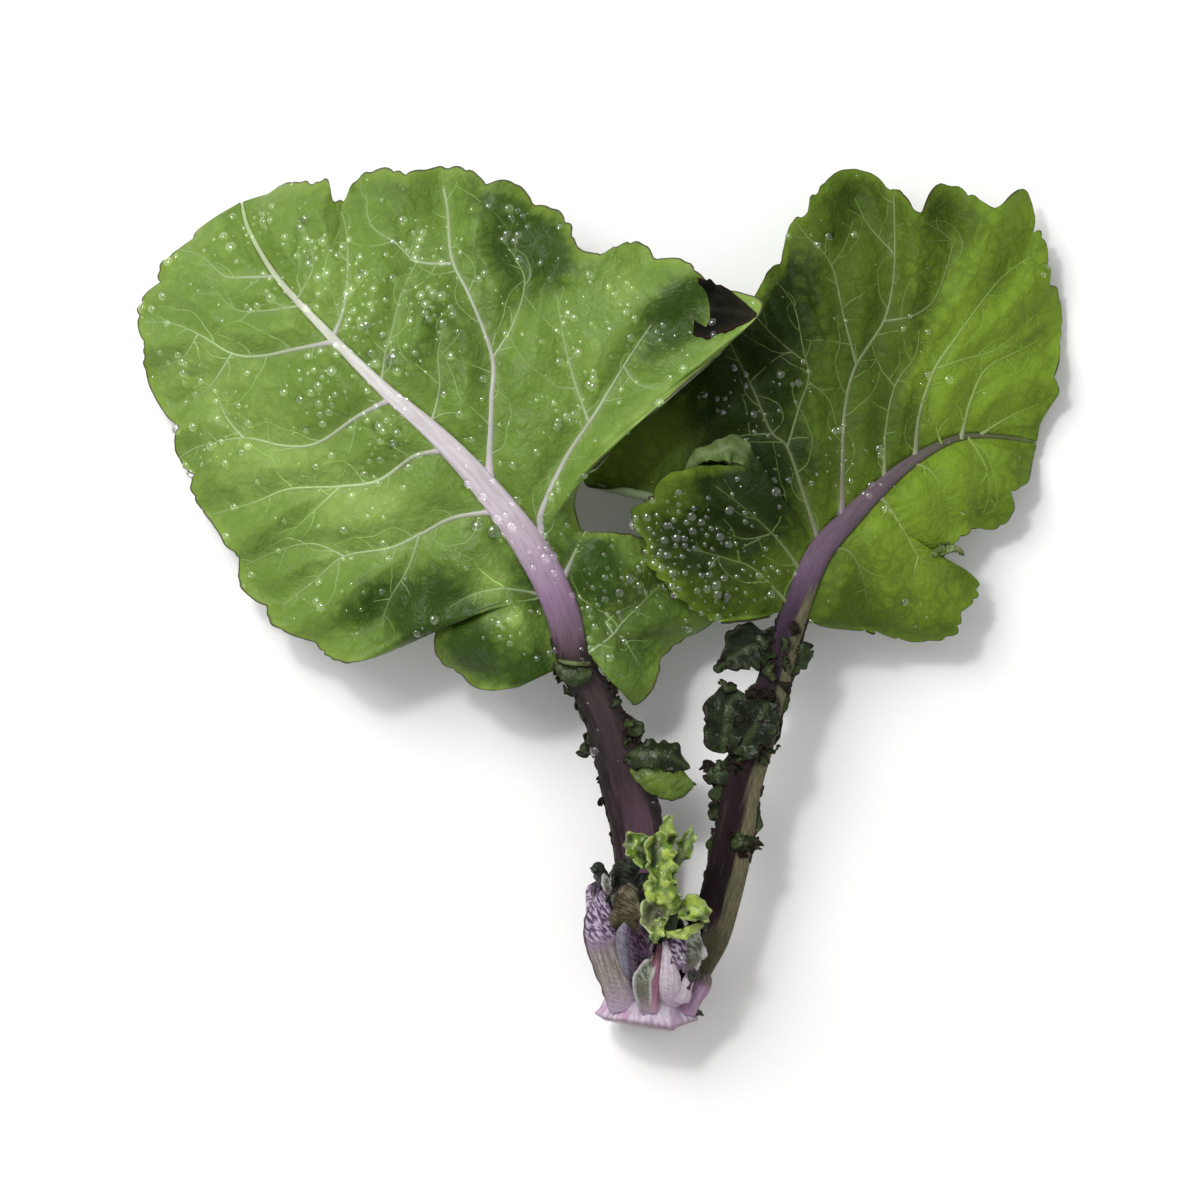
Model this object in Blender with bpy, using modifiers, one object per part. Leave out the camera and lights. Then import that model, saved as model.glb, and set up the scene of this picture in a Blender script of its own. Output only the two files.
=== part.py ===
"""A kale sprout lying on a table: a cut stump, its purple heart, and the leaves that fan out from it.

Lengths in the tables are millimetres. X runs to the right across the sprout, Y runs from the cut
stump towards the leaf tips, and Z is up from the table.
"""

import math
from dataclasses import dataclass

import bmesh
import bpy
from mathutils import Matrix, Vector

MM = 0.001
UP = Vector((0.0, 0.0, 1.0))

BLADE_THICKNESS = 0.8
RIB_DEPTH = 1.5
RIB_EDGE_DEPTH = 0.7
RIB_CROWN = 0.22
THICKEST = 6.0
CLEARANCE = 0.35

PETIOLE_ROWS = 9
RIB_COLUMNS = (1.0, 0.5, 0.0, -0.5, -1.0)
LARGE_BLADE = (0.1, 0.26, 0.44, 0.62, 0.8, 1.0)
SMALL_BLADE = (0.3, 0.65, 1.0)
MARGIN_STEPS = 240
# how far either side of a place the rib's direction is read
TANGENT_STEP = 0.05

# how the scallops and the ruffles along a margin drift out of step, and how sharp they are
SCALLOP_DRIFT = 0.6
SCALLOP_DRIFT_RATE = 0.31
SCALLOP_ROUNDNESS = 0.7
RUFFLE_DRIFT = 0.7
RUFFLE_DRIFT_RATE = 0.17
RUFFLE_ONSET = 2.5
# a blade this wide or wider has its full arch
FULL_ARCH_SPAN = 12.0
# how fast a small leaf's ruffles grow along it
CRINKLE_RATE = 3.0

# Where the middle of the sprout's box and its lowest point are, before it is moved to the origin.
BOX_MIDDLE = Vector((-0.1, 0.3, 0.0))


@dataclass
class Leaf:
    """A leaf as the top face of its petiole and midrib, with a margin on each side of it."""

    name: str
    # x, y, z and half width along the petiole and the midrib
    rib: list
    # the rib point where the blade begins
    base: int
    # share of the midrib, x, y, z along each margin
    left: list
    right: list
    rows: int
    columns: tuple = LARGE_BLADE
    arch: float = 1.5
    scallop_pitch: float = 8.0
    scallop_depth: float = 0.7
    ruffle_pitch: float = 12.0
    ruffle_height: float = 1.1
    thickness: float = BLADE_THICKNESS


@dataclass
class Strip:
    """A small leaf or leaflet as a rib with a half width, curved across about its own length."""

    # x, y, z and half width along the rib
    rib: list
    # the way its upper face looks
    facing: tuple
    # how far each margin is turned up, in degrees
    cup: float = 25.0
    rows: int = 8
    columns: int = 4
    ruffle_pitch: float = 4.0
    ruffle_height: float = 0.5
    # the share of the length that stays unruffled
    smooth_base: float = 0.0
    thickness: float = BLADE_THICKNESS
    rib_depth: float = 1.0


LEFT_LEAF = Leaf(
    name="leaf_left",
    rib=[
        (4.6, -43.0, 4.4, 2.6), (4.6, -36.0, 4.4, 2.7), (4.5, -30.0, 5.4, 2.8), (4.0, -25.0, 7.2, 2.9),
        (2.6, -19.2, 9.2, 2.8), (0.9, -14.0, 10.8, 2.2), (-0.9, -9.8, 12.0, 1.9),
        (-2.9, -6.5, 12.8, 1.8), (-4.3, -0.8, 13.6, 1.9), (-7.3, 5.5, 14.6, 1.9),
        (-12.5, 12.5, 16.0, 1.6), (-17.8, 18.2, 16.6, 1.3), (-23.9, 23.5, 16.2, 1.0),
        (-29.6, 29.2, 14.2, 0.8), (-35.4, 35.5, 10.5, 0.6), (-38.8, 41.0, 6.6, 0.5),
        (-39.8, 44.4, 4.2, 0.5),
    ],
    base=7,
    left=[
        (0.00, -9.5, -9.5, 10.0), (0.03, -14.5, -8.8, 9.0), (0.06, -17.8, -5.5, 9.5),
        (0.10, -16.8, -0.5, 11.0), (0.14, -21.0, -4.5, 11.0), (0.19, -28.0, -6.2, 10.0),
        (0.24, -34.0, -3.2, 8.0), (0.30, -38.5, 1.0, 6.5), (0.37, -42.0, 8.0, 5.0),
        (0.44, -45.5, 13.5, 4.0), (0.52, -47.5, 20.0, 2.8), (0.62, -50.5, 26.0, 1.85),
        (0.74, -51.0, 32.0, 1.75), (0.87, -48.5, 37.0, 2.2), (1.00, -44.5, 41.5, 3.0),
    ],
    right=[
        (0.00, 3.9, -11.7, 8.0), (0.03, 6.5, -7.0, 7.5), (0.06, 8.5, -4.3, 7.0),
        (0.09, 11.8, -1.5, 6.8), (0.12, 9.5, 4.5, 8.0), (0.15, 3.5, 7.0, 11.0), (0.18, -1.8, 8.3, 14.0),
        (0.205, -3.0, 11.5, 15.5), (0.225, 1.0, 16.5, 18.5), (0.25, 8.0, 23.0, 20.5),
        (0.28, 16.9, 31.5, 18.5), (0.31, 11.5, 35.0, 16.5), (0.35, 4.0, 38.7, 15.0),
        (0.39, -2.3, 38.2, 13.5), (0.43, -4.5, 42.0, 12.0), (0.50, -9.5, 45.3, 11.0),
        (0.58, -18.0, 47.5, 9.5), (0.66, -25.5, 47.0, 8.0), (0.73, -29.3, 43.8, 8.5),
        (0.80, -30.5, 46.5, 7.0), (0.90, -34.5, 46.0, 5.5), (1.00, -37.0, 45.2, 4.5),
    ],
    rows=42,
)

RIGHT_LEAF = Leaf(
    name="leaf_right",
    rib=[
        (8.9, -42.6, 8.2, 1.9), (10.6, -39.5, 8.3, 2.1), (12.4, -35.5, 8.6, 2.2),
        (14.2, -28.2, 9.4, 2.2), (15.5, -20.8, 10.2, 2.1), (17.2, -15.0, 10.8, 1.9),
        (19.0, -8.8, 11.2, 1.7), (21.2, -1.4, 11.6, 1.5), (23.8, 5.2, 12.0, 1.4),
        (27.4, 9.4, 11.6, 1.2), (31.2, 13.1, 10.8, 1.0), (34.9, 16.0, 9.4, 0.8), (39.5, 18.2, 6.8, 0.6),
        (44.0, 18.4, 4.2, 0.5), (48.4, 17.8, 2.2, 0.5),
    ],
    base=7,
    left=[
        (0.00, 17.6, -1.6, 11.0), (0.03, 14.5, -1.8, 11.0), (0.06, 11.3, -1.9, 11.0),
        (0.09, 8.5, 1.2, 11.5), (0.12, 5.3, 5.0, 12.5), (0.145, 4.2, 10.0, 13.0),
        (0.17, 8.0, 13.7, 14.0), (0.19, 14.0, 15.5, 14.0), (0.205, 16.0, 17.6, 13.0),
        (0.22, 9.0, 16.8, 11.5), (0.235, 3.0, 13.4, 9.5), (0.25, -2.0, 13.6, 9.0),
        (0.27, -1.2, 19.5, 9.0), (0.295, 4.5, 26.5, 9.0), (0.325, 11.5, 31.0, 10.0),
        (0.36, 17.0, 33.5, 11.0), (0.40, 19.5, 37.3, 10.5), (0.44, 22.0, 42.7, 9.5),
        (0.48, 26.5, 46.8, 8.5), (0.52, 31.6, 46.2, 8.5), (0.555, 34.6, 42.8, 9.0),
        (0.59, 37.5, 45.5, 7.5), (0.64, 43.5, 44.0, 6.0), (0.69, 46.8, 45.0, 4.5),
        (0.74, 49.0, 39.0, 3.0), (0.79, 50.8, 33.0, 2.0), (0.84, 50.6, 28.5, 1.65),
        (0.92, 50.4, 23.5, 1.9), (1.00, 48.8, 19.8, 2.4),
    ],
    right=[
        (0.00, 24.5, -2.8, 8.5), (0.06, 28.2, -2.8, 7.5), (0.14, 33.3, -4.0, 6.0), (0.22, 38.5, -3.2, 5.0),
        (0.30, 41.0, 1.0, 4.5), (0.36, 40.7, 3.5, 5.0), (0.42, 36.5, 4.8, 6.5), (0.48, 40.5, 7.7, 5.5),
        (0.58, 43.6, 8.6, 4.5), (0.70, 46.4, 12.9, 3.0), (0.84, 47.4, 15.5, 2.4), (1.00, 48.2, 16.6, 2.2),
    ],
    rows=42,
    arch=1.2,
)

FRILL_LEAF = Leaf(
    name="frill_leaf",
    rib=[
        (6.4, -41.0, 10.6, 0.8), (6.6, -38.6, 12.6, 0.9), (7.2, -36.2, 14.6, 0.9), (7.2, -33.0, 16.2, 0.8),
        (6.8, -30.0, 17.4, 0.7), (6.5, -26.5, 18.0, 0.6), (6.3, -23.4, 17.6, 0.5),
    ],
    base=2,
    left=[
        (0.00, 5.2, -36.2, 16.2), (0.15, 4.2, -35.0, 16.5), (0.30, 5.4, -33.0, 17.5),
        (0.45, 4.2, -30.5, 18.5), (0.60, 5.0, -28.2, 18.8), (0.75, 3.0, -27.5, 17.5),
        (0.88, 3.4, -25.0, 17.2), (1.00, 5.0, -23.2, 17.6),
    ],
    right=[
        (0.00, 8.8, -36.4, 16.2), (0.12, 11.5, -35.6, 16.5), (0.22, 11.6, -33.0, 18.2),
        (0.32, 8.9, -31.8, 17.6), (0.45, 8.6, -29.5, 18.8), (0.60, 8.2, -27.6, 18.6),
        (0.72, 10.3, -27.0, 17.6), (0.85, 10.1, -24.6, 17.8), (1.00, 7.6, -22.9, 17.4),
    ],
    rows=22,
    columns=SMALL_BLADE,
    arch=0.2,
    scallop_pitch=3.0,
    scallop_depth=0.25,
    ruffle_pitch=4.2,
    ruffle_height=0.8,
)

LEFT_LEAFLETS = [
    Strip(
        rib=[
            (2.2, -16.2, 9.6, 1.2), (5.0, -17.6, 10.4, 2.6), (8.0, -19.0, 10.0, 3.0),
            (10.3, -20.4, 9.2, 1.4),
        ],
        facing=(0.1, 0.1, 1.0),
        rows=9,
        columns=6,
        ruffle_pitch=5.0,
    ),
    Strip(
        rib=[(1.4, -15.4, 9.4, 1.0), (-1.0, -15.8, 9.4, 1.2), (-2.8, -16.2, 8.8, 0.8)],
        facing=(0.0, 0.3, 1.0),
    ),
    Strip(
        rib=[(2.2, -13.4, 10.0, 0.9), (3.6, -13.6, 10.6, 1.3), (4.6, -14.4, 11.2, 0.8)],
        facing=(0.3, 0.2, 1.0),
    ),
    Strip(
        rib=[(-1.2, -8.6, 11.2, 1.0), (-3.8, -9.2, 10.6, 1.5), (-6.0, -9.8, 9.4, 1.0)],
        facing=(0.0, 0.0, 1.0),
    ),
]

RIGHT_LEAFLETS = [
    Strip(
        rib=[
            (17.6, -11.0, 10.2, 1.2), (15.4, -12.4, 11.0, 2.8), (14.0, -14.2, 11.0, 2.6),
            (12.6, -16.4, 10.2, 1.2),
        ],
        facing=(0.0, 0.0, 1.0),
        rows=9,
        columns=6,
        ruffle_pitch=5.0,
    ),
    Strip(
        rib=[
            (19.4, -6.6, 10.6, 1.2), (17.2, -5.6, 11.4, 2.4), (15.0, -5.6, 11.8, 2.4),
            (13.2, -6.4, 11.6, 1.0),
        ],
        facing=(0.2, 0.1, 1.0),
        rows=9,
        columns=6,
        ruffle_pitch=4.5,
    ),
    Strip(
        rib=[(19.6, -7.0, 10.4, 1.0), (21.6, -6.2, 10.4, 1.6), (23.2, -5.4, 9.8, 0.9)],
        facing=(0.2, 0.0, 1.0),
    ),
    Strip(
        rib=[(15.6, -18.4, 9.2, 1.0), (13.4, -18.8, 9.6, 1.4), (12.2, -19.4, 9.0, 0.7)],
        facing=(0.0, 0.2, 1.0),
    ),
    Strip(
        rib=[(14.4, -22.0, 9.2, 1.0), (12.8, -22.6, 9.6, 1.4), (11.8, -23.6, 9.4, 0.8)],
        facing=(-0.2, 0.0, 1.0),
    ),
    Strip(
        rib=[(13.6, -25.4, 8.8, 0.9), (12.2, -25.6, 9.2, 1.2), (11.4, -26.2, 9.0, 0.7)],
        facing=(-0.2, 0.0, 1.0),
    ),
    Strip(
        rib=[(14.6, -26.8, 8.4, 0.9), (16.2, -27.0, 8.8, 1.3), (17.6, -27.6, 8.4, 0.8)],
        facing=(0.2, 0.0, 1.0),
    ),
]

HEART_LEAVES = [
    # the long cupped leaf along the left side
    Strip(
        rib=[
            (2.0, -42.2, 7.6, 1.8), (0.8, -40.0, 8.6, 2.2), (0.2, -36.5, 10.0, 2.6),
            (0.2, -33.0, 11.4, 2.6), (0.7, -29.4, 12.6, 1.8),
        ],
        facing=(0.75, 0.0, 0.65),
        cup=55.0,
        rows=14,
        columns=8,
        ruffle_pitch=3.6,
        smooth_base=0.35,
        rib_depth=1.8,
    ),
    # the broad pale petiole at the right with its crinkled top
    Strip(
        rib=[
            (7.4, -42.6, 10.0, 1.7), (7.5, -41.0, 12.4, 1.8), (7.9, -38.4, 13.4, 2.0),
            (8.8, -36.0, 13.4, 2.6),
        ],
        facing=(-0.1, 0.1, 1.0),
        cup=20.0,
        rows=10,
        columns=6,
        ruffle_pitch=2.8,
        smooth_base=0.35,
        rib_depth=1.8,
    ),
    # the narrow leaf between them
    Strip(
        rib=[
            (5.2, -42.4, 9.8, 1.0), (4.9, -41.0, 12.0, 1.3), (5.3, -38.0, 13.4, 1.3),
            (5.6, -36.0, 14.0, 0.8),
        ],
        facing=(0.4, 0.0, 1.0),
        cup=50.0,
        rows=9,
        columns=5,
        smooth_base=0.35,
        rib_depth=1.2,
    ),
    # the bud
    Strip(
        rib=[
            (3.4, -42.0, 9.6, 1.0), (2.7, -39.6, 12.6, 1.5), (2.9, -36.6, 14.4, 1.4),
            (3.2, -34.6, 14.8, 0.7),
        ],
        facing=(0.2, 0.2, 1.0),
        cup=-60.0,
        rows=9,
        columns=6,
        rib_depth=1.6,
        ruffle_height=0.1,
    ),
    # the small upright leaf behind the bud, and its dark curled tip
    Strip(
        rib=[
            (3.6, -38.0, 11.4, 1.2), (3.0, -34.6, 13.6, 2.0), (2.8, -31.6, 15.4, 2.4),
            (2.8, -28.6, 16.0, 1.6),
        ],
        facing=(0.1, -0.4, 1.0),
        cup=30.0,
        rows=11,
        columns=6,
        ruffle_pitch=3.2,
    ),
    # the outer leaves on the underside
    Strip(
        rib=[
            (2.4, -42.2, 6.6, 1.6), (0.3, -39.5, 6.4, 2.0), (-0.6, -35.0, 7.4, 2.0),
            (-0.8, -31.0, 9.0, 1.2),
        ],
        facing=(0.9, 0.0, 0.3),
        cup=45.0,
        rows=10,
        columns=6,
        smooth_base=0.35,
        rib_depth=1.4,
    ),
    Strip(
        rib=[
            (9.4, -42.0, 11.4, 1.2), (10.4, -38.0, 12.0, 1.9), (10.8, -35.0, 13.0, 2.0),
            (10.2, -32.0, 14.0, 1.2),
        ],
        facing=(-0.8, 0.0, 0.5),
        cup=45.0,
        rows=10,
        columns=6,
        smooth_base=0.35,
        rib_depth=1.2,
    ),
]

# y, middle x, middle z, half width and half height of the heart's solid middle
HEART_CORE = [
    (-43.0, 4.9, 7.4, 4.2, 3.0), (-41.0, 4.9, 8.4, 4.9, 3.8), (-37.5, 4.8, 9.6, 5.4, 4.4),
    (-34.0, 4.8, 10.8, 4.8, 4.0), (-31.0, 4.8, 12.0, 3.2, 2.8), (-29.6, 4.8, 12.6, 1.2, 1.2),
]
CORE_SIDES = 16
# the folds along the heart's middle: how deep, how many, and how far they turn in a millimetre
CORE_FOLD = 0.07
CORE_FOLDS = 5.0
CORE_FOLD_TWIST = 0.2

# share of the stump's length, middle x, middle z, half width and half height, from the cut face forwards
STUMP_RINGS = [
    (0.0, 4.9, 5.3, 5.1, 5.0), (0.18, 4.9, 5.2, 5.5, 5.5), (0.6, 4.9, 5.2, 5.4, 5.4),
    (1.0, 4.9, 5.3, 5.0, 5.2),
]
STUMP_SIDES = 22
# the lobes round the stump: how deep, how many, and where they begin
STUMP_LOBES = ((0.05, 3.0, 0.6), (0.03, 7.0, 0.0))
CUT_LEFT_Y = -45.2
CUT_RIGHT_Y = -47.0
CUT_TILT = 0.16
STUMP_FRONT_Y = -43.9

COLOURS = {
    "stump": ((0.72, 0.52, 0.60), 0.45),
    "heart": ((0.16, 0.08, 0.17), 0.45),
    "leaf_left": ((0.13, 0.25, 0.07), 0.5),
    "leaf_right": ((0.09, 0.19, 0.04), 0.5),
    "frill_leaf": ((0.28, 0.42, 0.07), 0.5),
}


def spline(points, place):
    """The point at `place`, from 0 to the last point's number, on a smooth curve through the points."""
    last = len(points) - 1
    place = min(max(place, 0.0), float(last))
    first = min(int(place), last - 1)
    t = place - first
    before, start, end, after = (points[min(max(first + step, 0), last)] for step in (-1, 0, 1, 2))
    return [
        0.5 * (2 * b + (c - a) * t + (2 * a - 5 * b + 4 * c - d) * t * t + (3 * b - a - 3 * c + d) * t ** 3)
        for a, b, c, d in zip(before, start, end, after)
    ]


def lengths_along(points):
    """The distance travelled at each point of a polyline."""
    travelled = [0.0]
    for start, end in zip(points, points[1:]):
        travelled.append(travelled[-1] + (end - start).length)
    return travelled


def value_at(xs, ys, x):
    """ys at x, read in straight lines between the xs."""
    for i in range(len(xs) - 1):
        if x <= xs[i + 1]:
            return ys[i] + (ys[i + 1] - ys[i]) * (x - xs[i]) / max(xs[i + 1] - xs[i], 1e-9)
    return ys[-1]


class LeafForm:
    """Places points on a leaf's upper face."""

    def __init__(self, leaf):
        self.leaf = leaf
        last = len(leaf.rib) - 1
        self.places = [leaf.base + (last - leaf.base) * i / MARGIN_STEPS for i in range(MARGIN_STEPS + 1)]
        self.rib_lengths = lengths_along([self.rib_point(place)[0] for place in self.places])
        self.shares = [i / MARGIN_STEPS for i in range(MARGIN_STEPS + 1)]
        self.margin_lengths = {
            side: lengths_along([self.margin(side, share) for share in self.shares]) for side in (1, -1)
        }

    def rib_point(self, place):
        """The middle of the rib's upper face there, and its half width."""
        x, y, z, half_width = spline(self.leaf.rib, place)
        return Vector((x, y, z)), half_width

    def rib_place(self, share):
        """The place on the rib at this share of the midrib's length."""
        return value_at(self.rib_lengths, self.places, share * self.rib_lengths[-1])

    def across(self, place):
        """The level direction to the left of the rib."""
        ahead = self.rib_point(place + TANGENT_STEP)[0] - self.rib_point(place - TANGENT_STEP)[0]
        return UP.cross(ahead).normalized()

    def margin(self, side, share):
        """The smooth margin, without scallops or ruffles. Side is 1 at the left and -1 at the right."""
        knots = self.leaf.left if side > 0 else self.leaf.right
        place = value_at([knot[0] for knot in knots], list(range(len(knots))), share)
        return Vector(spline([knot[1:] for knot in knots], place))

    def rib_vertex(self, place, column, grow):
        """A point of the rib's crowned upper face; column runs from 1 at its left edge to -1."""
        middle, half_width = self.rib_point(place)
        crown = RIB_CROWN * half_width * (1.0 - column * column)
        return middle + self.across(place) * column * (half_width + grow) + UP * (crown + grow)

    def rib_row(self, place, grow):
        """The rib's points across its upper face with the thickness at each."""
        half_width = self.rib_point(place)[1]
        return [
            (self.rib_vertex(place, column, grow), rib_thickness(half_width, column) + 2.0 * grow)
            for column in RIB_COLUMNS
        ]

    def blade_vertex(self, side, share, t, grow):
        """A point of the blade, from the rib's edge at t = 0 to the margin at t = 1."""
        leaf = self.leaf
        start = self.rib_vertex(self.rib_place(share), float(side), 0.0)
        end = self.margin(side, share)
        travelled = value_at(self.shares, self.margin_lengths[side], share)
        drift = SCALLOP_DRIFT * math.sin(SCALLOP_DRIFT_RATE * travelled)
        turn = math.pi * travelled / leaf.scallop_pitch + drift
        scallop = leaf.scallop_depth * (2.0 * abs(math.sin(turn)) ** SCALLOP_ROUNDNESS - 1.0)
        outward = (end - start).normalized()
        drift = side + RUFFLE_DRIFT * math.sin(RUFFLE_DRIFT_RATE * travelled)
        wave = 2.0 * math.pi * travelled / leaf.ruffle_pitch + drift
        ruffle = leaf.ruffle_height * math.sin(wave) * t ** RUFFLE_ONSET
        arch = leaf.arch * math.sin(math.pi * t) * min(1.0, (end - start).length / FULL_ARCH_SPAN)
        return start.lerp(end, t) + outward * (scallop * t * t + grow) + UP * (ruffle + arch + grow)

    def row_shares(self):
        """Shares of the midrib that step evenly along the rib and both margins together."""
        totals = [
            rib + self.margin_lengths[1][i] + self.margin_lengths[-1][i]
            for i, rib in enumerate(self.rib_lengths)
        ]
        count = self.leaf.rows
        return [value_at(totals, self.shares, totals[-1] * i / count) for i in range(count + 1)]


def rib_thickness(half_width, column):
    """How thick the rib is, from its middle to its edges."""
    depth = RIB_EDGE_DEPTH + (RIB_DEPTH - RIB_EDGE_DEPTH) * (1.0 - column * column)
    return max(BLADE_THICKNESS, depth * half_width)


def sheet_object(name, rows):
    """An open sheet with the thickness that each point asks for, given below its upper face.

    Each row is a list of (point, thickness), or None where the sheet has no column.
    """
    bm = bmesh.new()
    weights = []
    grid = []
    for row in rows:
        grid.append([])
        for cell in row:
            if cell is None:
                grid[-1].append(None)
                continue
            grid[-1].append(bm.verts.new(cell[0] * MM))
            weights.append(cell[1] / THICKEST)
    for i in range(len(grid) - 1):
        for j in range(len(grid[i]) - 1):
            corners = [grid[i][j], grid[i][j + 1], grid[i + 1][j + 1], grid[i + 1][j]]
            if None in corners:
                continue
            a, b, c, d = corners
            if (a.co - c.co).length <= (b.co - d.co).length:
                bm.faces.new((a, b, c))
                bm.faces.new((a, c, d))
            else:
                bm.faces.new((a, b, d))
                bm.faces.new((b, c, d))
    mesh = bpy.data.meshes.new(name)
    bm.to_mesh(mesh)
    bm.free()
    sheet = bpy.data.objects.new(name, mesh)
    group = sheet.vertex_groups.new(name="thickness")
    for index, weight in enumerate(weights):
        group.add([index], min(1.0, weight), "REPLACE")
    solidify = sheet.modifiers.new("thickness", "SOLIDIFY")
    solidify.thickness = THICKEST * MM
    solidify.offset = -1.0
    solidify.vertex_group = group.name
    solidify.use_quality_normals = True
    return sheet


def behind(form, place, distance):
    """The step of that length backwards along the rib."""
    ahead = form.rib_point(place + TANGENT_STEP)[0] - form.rib_point(place)[0]
    return ahead.normalized() * -distance


def leaf_object(leaf, grow=0.0):
    """The leaf's petiole, midrib and blade as one sheet with thickness.

    With grow it is larger all round by that much, to cut the leaf's seat in a neighbour.
    """
    form = LeafForm(leaf)
    blank = [None] * len(leaf.columns)
    rows = []
    for i in range(PETIOLE_ROWS):
        place = leaf.base * i / PETIOLE_ROWS
        back = behind(form, place, 2.0 * grow if i == 0 else 0.0)
        rib = [(point + back, depth) for point, depth in form.rib_row(place, grow)]
        rows.append(blank + rib + blank)
    for i, share in enumerate(form.row_shares()):
        place = form.rib_place(share)
        back = behind(form, place, 2.0 * grow if i == 0 else 0.0)
        depth = leaf.thickness + 2.0 * grow
        left = [(form.blade_vertex(1, share, t, grow) + back, depth) for t in reversed(leaf.columns)]
        right = [(form.blade_vertex(-1, share, t, grow) + back, depth) for t in leaf.columns]
        rows.append(left + form.rib_row(place, grow) + right)
    return sheet_object(leaf.name, rows)


def rib_middle(strip, place):
    """The middle of a small leaf's upper face there."""
    return Vector(spline(strip.rib, place)[:3])


def strip_object(name, strip):
    """A small leaf as one sheet with thickness, curved across and ruffled along its margins."""
    facing = Vector(strip.facing).normalized()
    last = len(strip.rib) - 1
    places = [last * i / strip.rows for i in range(strip.rows + 1)]
    travelled = lengths_along([rib_middle(strip, place) for place in places])
    rows = []
    for i, place in enumerate(places):
        half_width = spline(strip.rib, place)[3]
        ahead = rib_middle(strip, place + TANGENT_STEP) - rib_middle(strip, place - TANGENT_STEP)
        across = facing.cross(ahead).normalized()
        outward = ahead.cross(across).normalized()
        crinkle = min(1.0, max(0.0, CRINKLE_RATE * (i / strip.rows - strip.smooth_base)))
        row = []
        for j in range(strip.columns + 1):
            column = 1.0 - 2.0 * j / strip.columns
            angle = math.radians(strip.cup) * column
            radius = half_width / math.radians(max(abs(strip.cup), 1.0))
            rise = math.copysign(radius * (1.0 - math.cos(angle)), strip.cup)
            wave = 2.0 * math.pi * travelled[i] / strip.ruffle_pitch + (1.5 if column > 0 else 0.0)
            ruffle = crinkle * strip.ruffle_height * math.sin(wave) * abs(column) ** 2 * min(1.0, half_width)
            reach = math.copysign(radius * math.sin(abs(angle)), column)
            point = rib_middle(strip, place) + across * reach + outward * (rise + ruffle)
            thickness = strip.thickness + (strip.rib_depth - strip.thickness) * (1.0 - abs(column)) ** 1.5
            row.append((point, thickness))
        rows.append(row)
    return sheet_object(name, rows)


def lofted_object(name, rings):
    """A closed solid through rings of points, with a fan of faces over each end."""
    bm = bmesh.new()
    loops = [[bm.verts.new(point * MM) for point in ring] for ring in rings]
    sides = len(loops[0])
    for near, far in zip(loops, loops[1:]):
        for k in range(sides):
            nxt = (k + 1) % sides
            bm.faces.new((near[k], near[nxt], far[nxt]))
            bm.faces.new((near[k], far[nxt], far[k]))
    for loop in (loops[0], loops[-1]):
        middle = sum((vert.co for vert in loop), Vector()) / sides
        hub = bm.verts.new(middle)
        for k in range(sides):
            bm.faces.new((loop[k], loop[(k + 1) % sides], hub))
    bmesh.ops.recalc_face_normals(bm, faces=bm.faces)
    mesh = bpy.data.meshes.new(name)
    bm.to_mesh(mesh)
    bm.free()
    return bpy.data.objects.new(name, mesh)


def heart_core():
    """The solid middle that the heart's leaves grow from, with shallow folds along it."""
    rings = []
    for y, middle_x, middle_z, half_width, half_height in HEART_CORE:
        ring = []
        for k in range(CORE_SIDES):
            angle = 2.0 * math.pi * k / CORE_SIDES
            fold = 1.0 + CORE_FOLD * math.sin(CORE_FOLDS * angle + CORE_FOLD_TWIST * y)
            x = middle_x + half_width * fold * math.cos(angle)
            z = middle_z + half_height * fold * math.sin(angle)
            ring.append(Vector((x, y, z)))
        rings.append(ring)
    return lofted_object("heart core", rings)


def stump():
    """The short stem with its slanted, slightly uneven cut face and the flat spot that it lies on."""
    rings = []
    for forward, middle_x, middle_z, half_width, half_height in STUMP_RINGS:
        ring = []
        for k in range(STUMP_SIDES):
            angle = 2.0 * math.pi * k / STUMP_SIDES
            lobe = 1.0 + sum(depth * math.sin(count * angle + start) for depth, count, start in STUMP_LOBES)
            x = middle_x + half_width * lobe * math.cos(angle)
            z = max(0.0, middle_z + half_height * lobe * math.sin(angle))
            share = (x - middle_x + half_width) / (2.0 * half_width)
            cut = CUT_LEFT_Y + (CUT_RIGHT_Y - CUT_LEFT_Y) * share + CUT_TILT * (z - middle_z)
            y = cut + forward * (STUMP_FRONT_Y - cut)
            ring.append(Vector((x, y, z)))
        rings.append(ring)
    return lofted_object("stump", rings)


def evaluated_copy(obj):
    """The object's mesh with its modifiers applied."""
    graph = bpy.context.evaluated_depsgraph_get()
    return bpy.data.meshes.new_from_object(obj.evaluated_get(graph))


def boolean(target, others, operation):
    """The target joined with, or cut by, the other objects, which are then removed."""
    group = bpy.data.collections.new("boolean pieces")
    bpy.context.scene.collection.children.link(group)
    for other in others:
        group.objects.link(other)
    modifier = target.modifiers.new("boolean", "BOOLEAN")
    modifier.operation = operation
    modifier.operand_type = "COLLECTION"
    modifier.collection = group
    modifier.solver = "MANIFOLD"
    mesh = evaluated_copy(target)
    target.modifiers.clear()
    target.vertex_groups.clear()
    target.data = mesh
    for other in others:
        bpy.data.objects.remove(other)
    bpy.data.collections.remove(group)
    return target


def material(name):
    """The plain finish of a node."""
    colour, roughness = COLOURS[name]
    finish = bpy.data.materials.new(name)
    finish.use_nodes = True
    shader = finish.node_tree.nodes["Principled BSDF"]
    shader.inputs["Base Color"].default_value = (*colour, 1.0)
    shader.inputs["Roughness"].default_value = roughness
    shader.inputs["Metallic"].default_value = 0.0
    return finish


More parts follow.
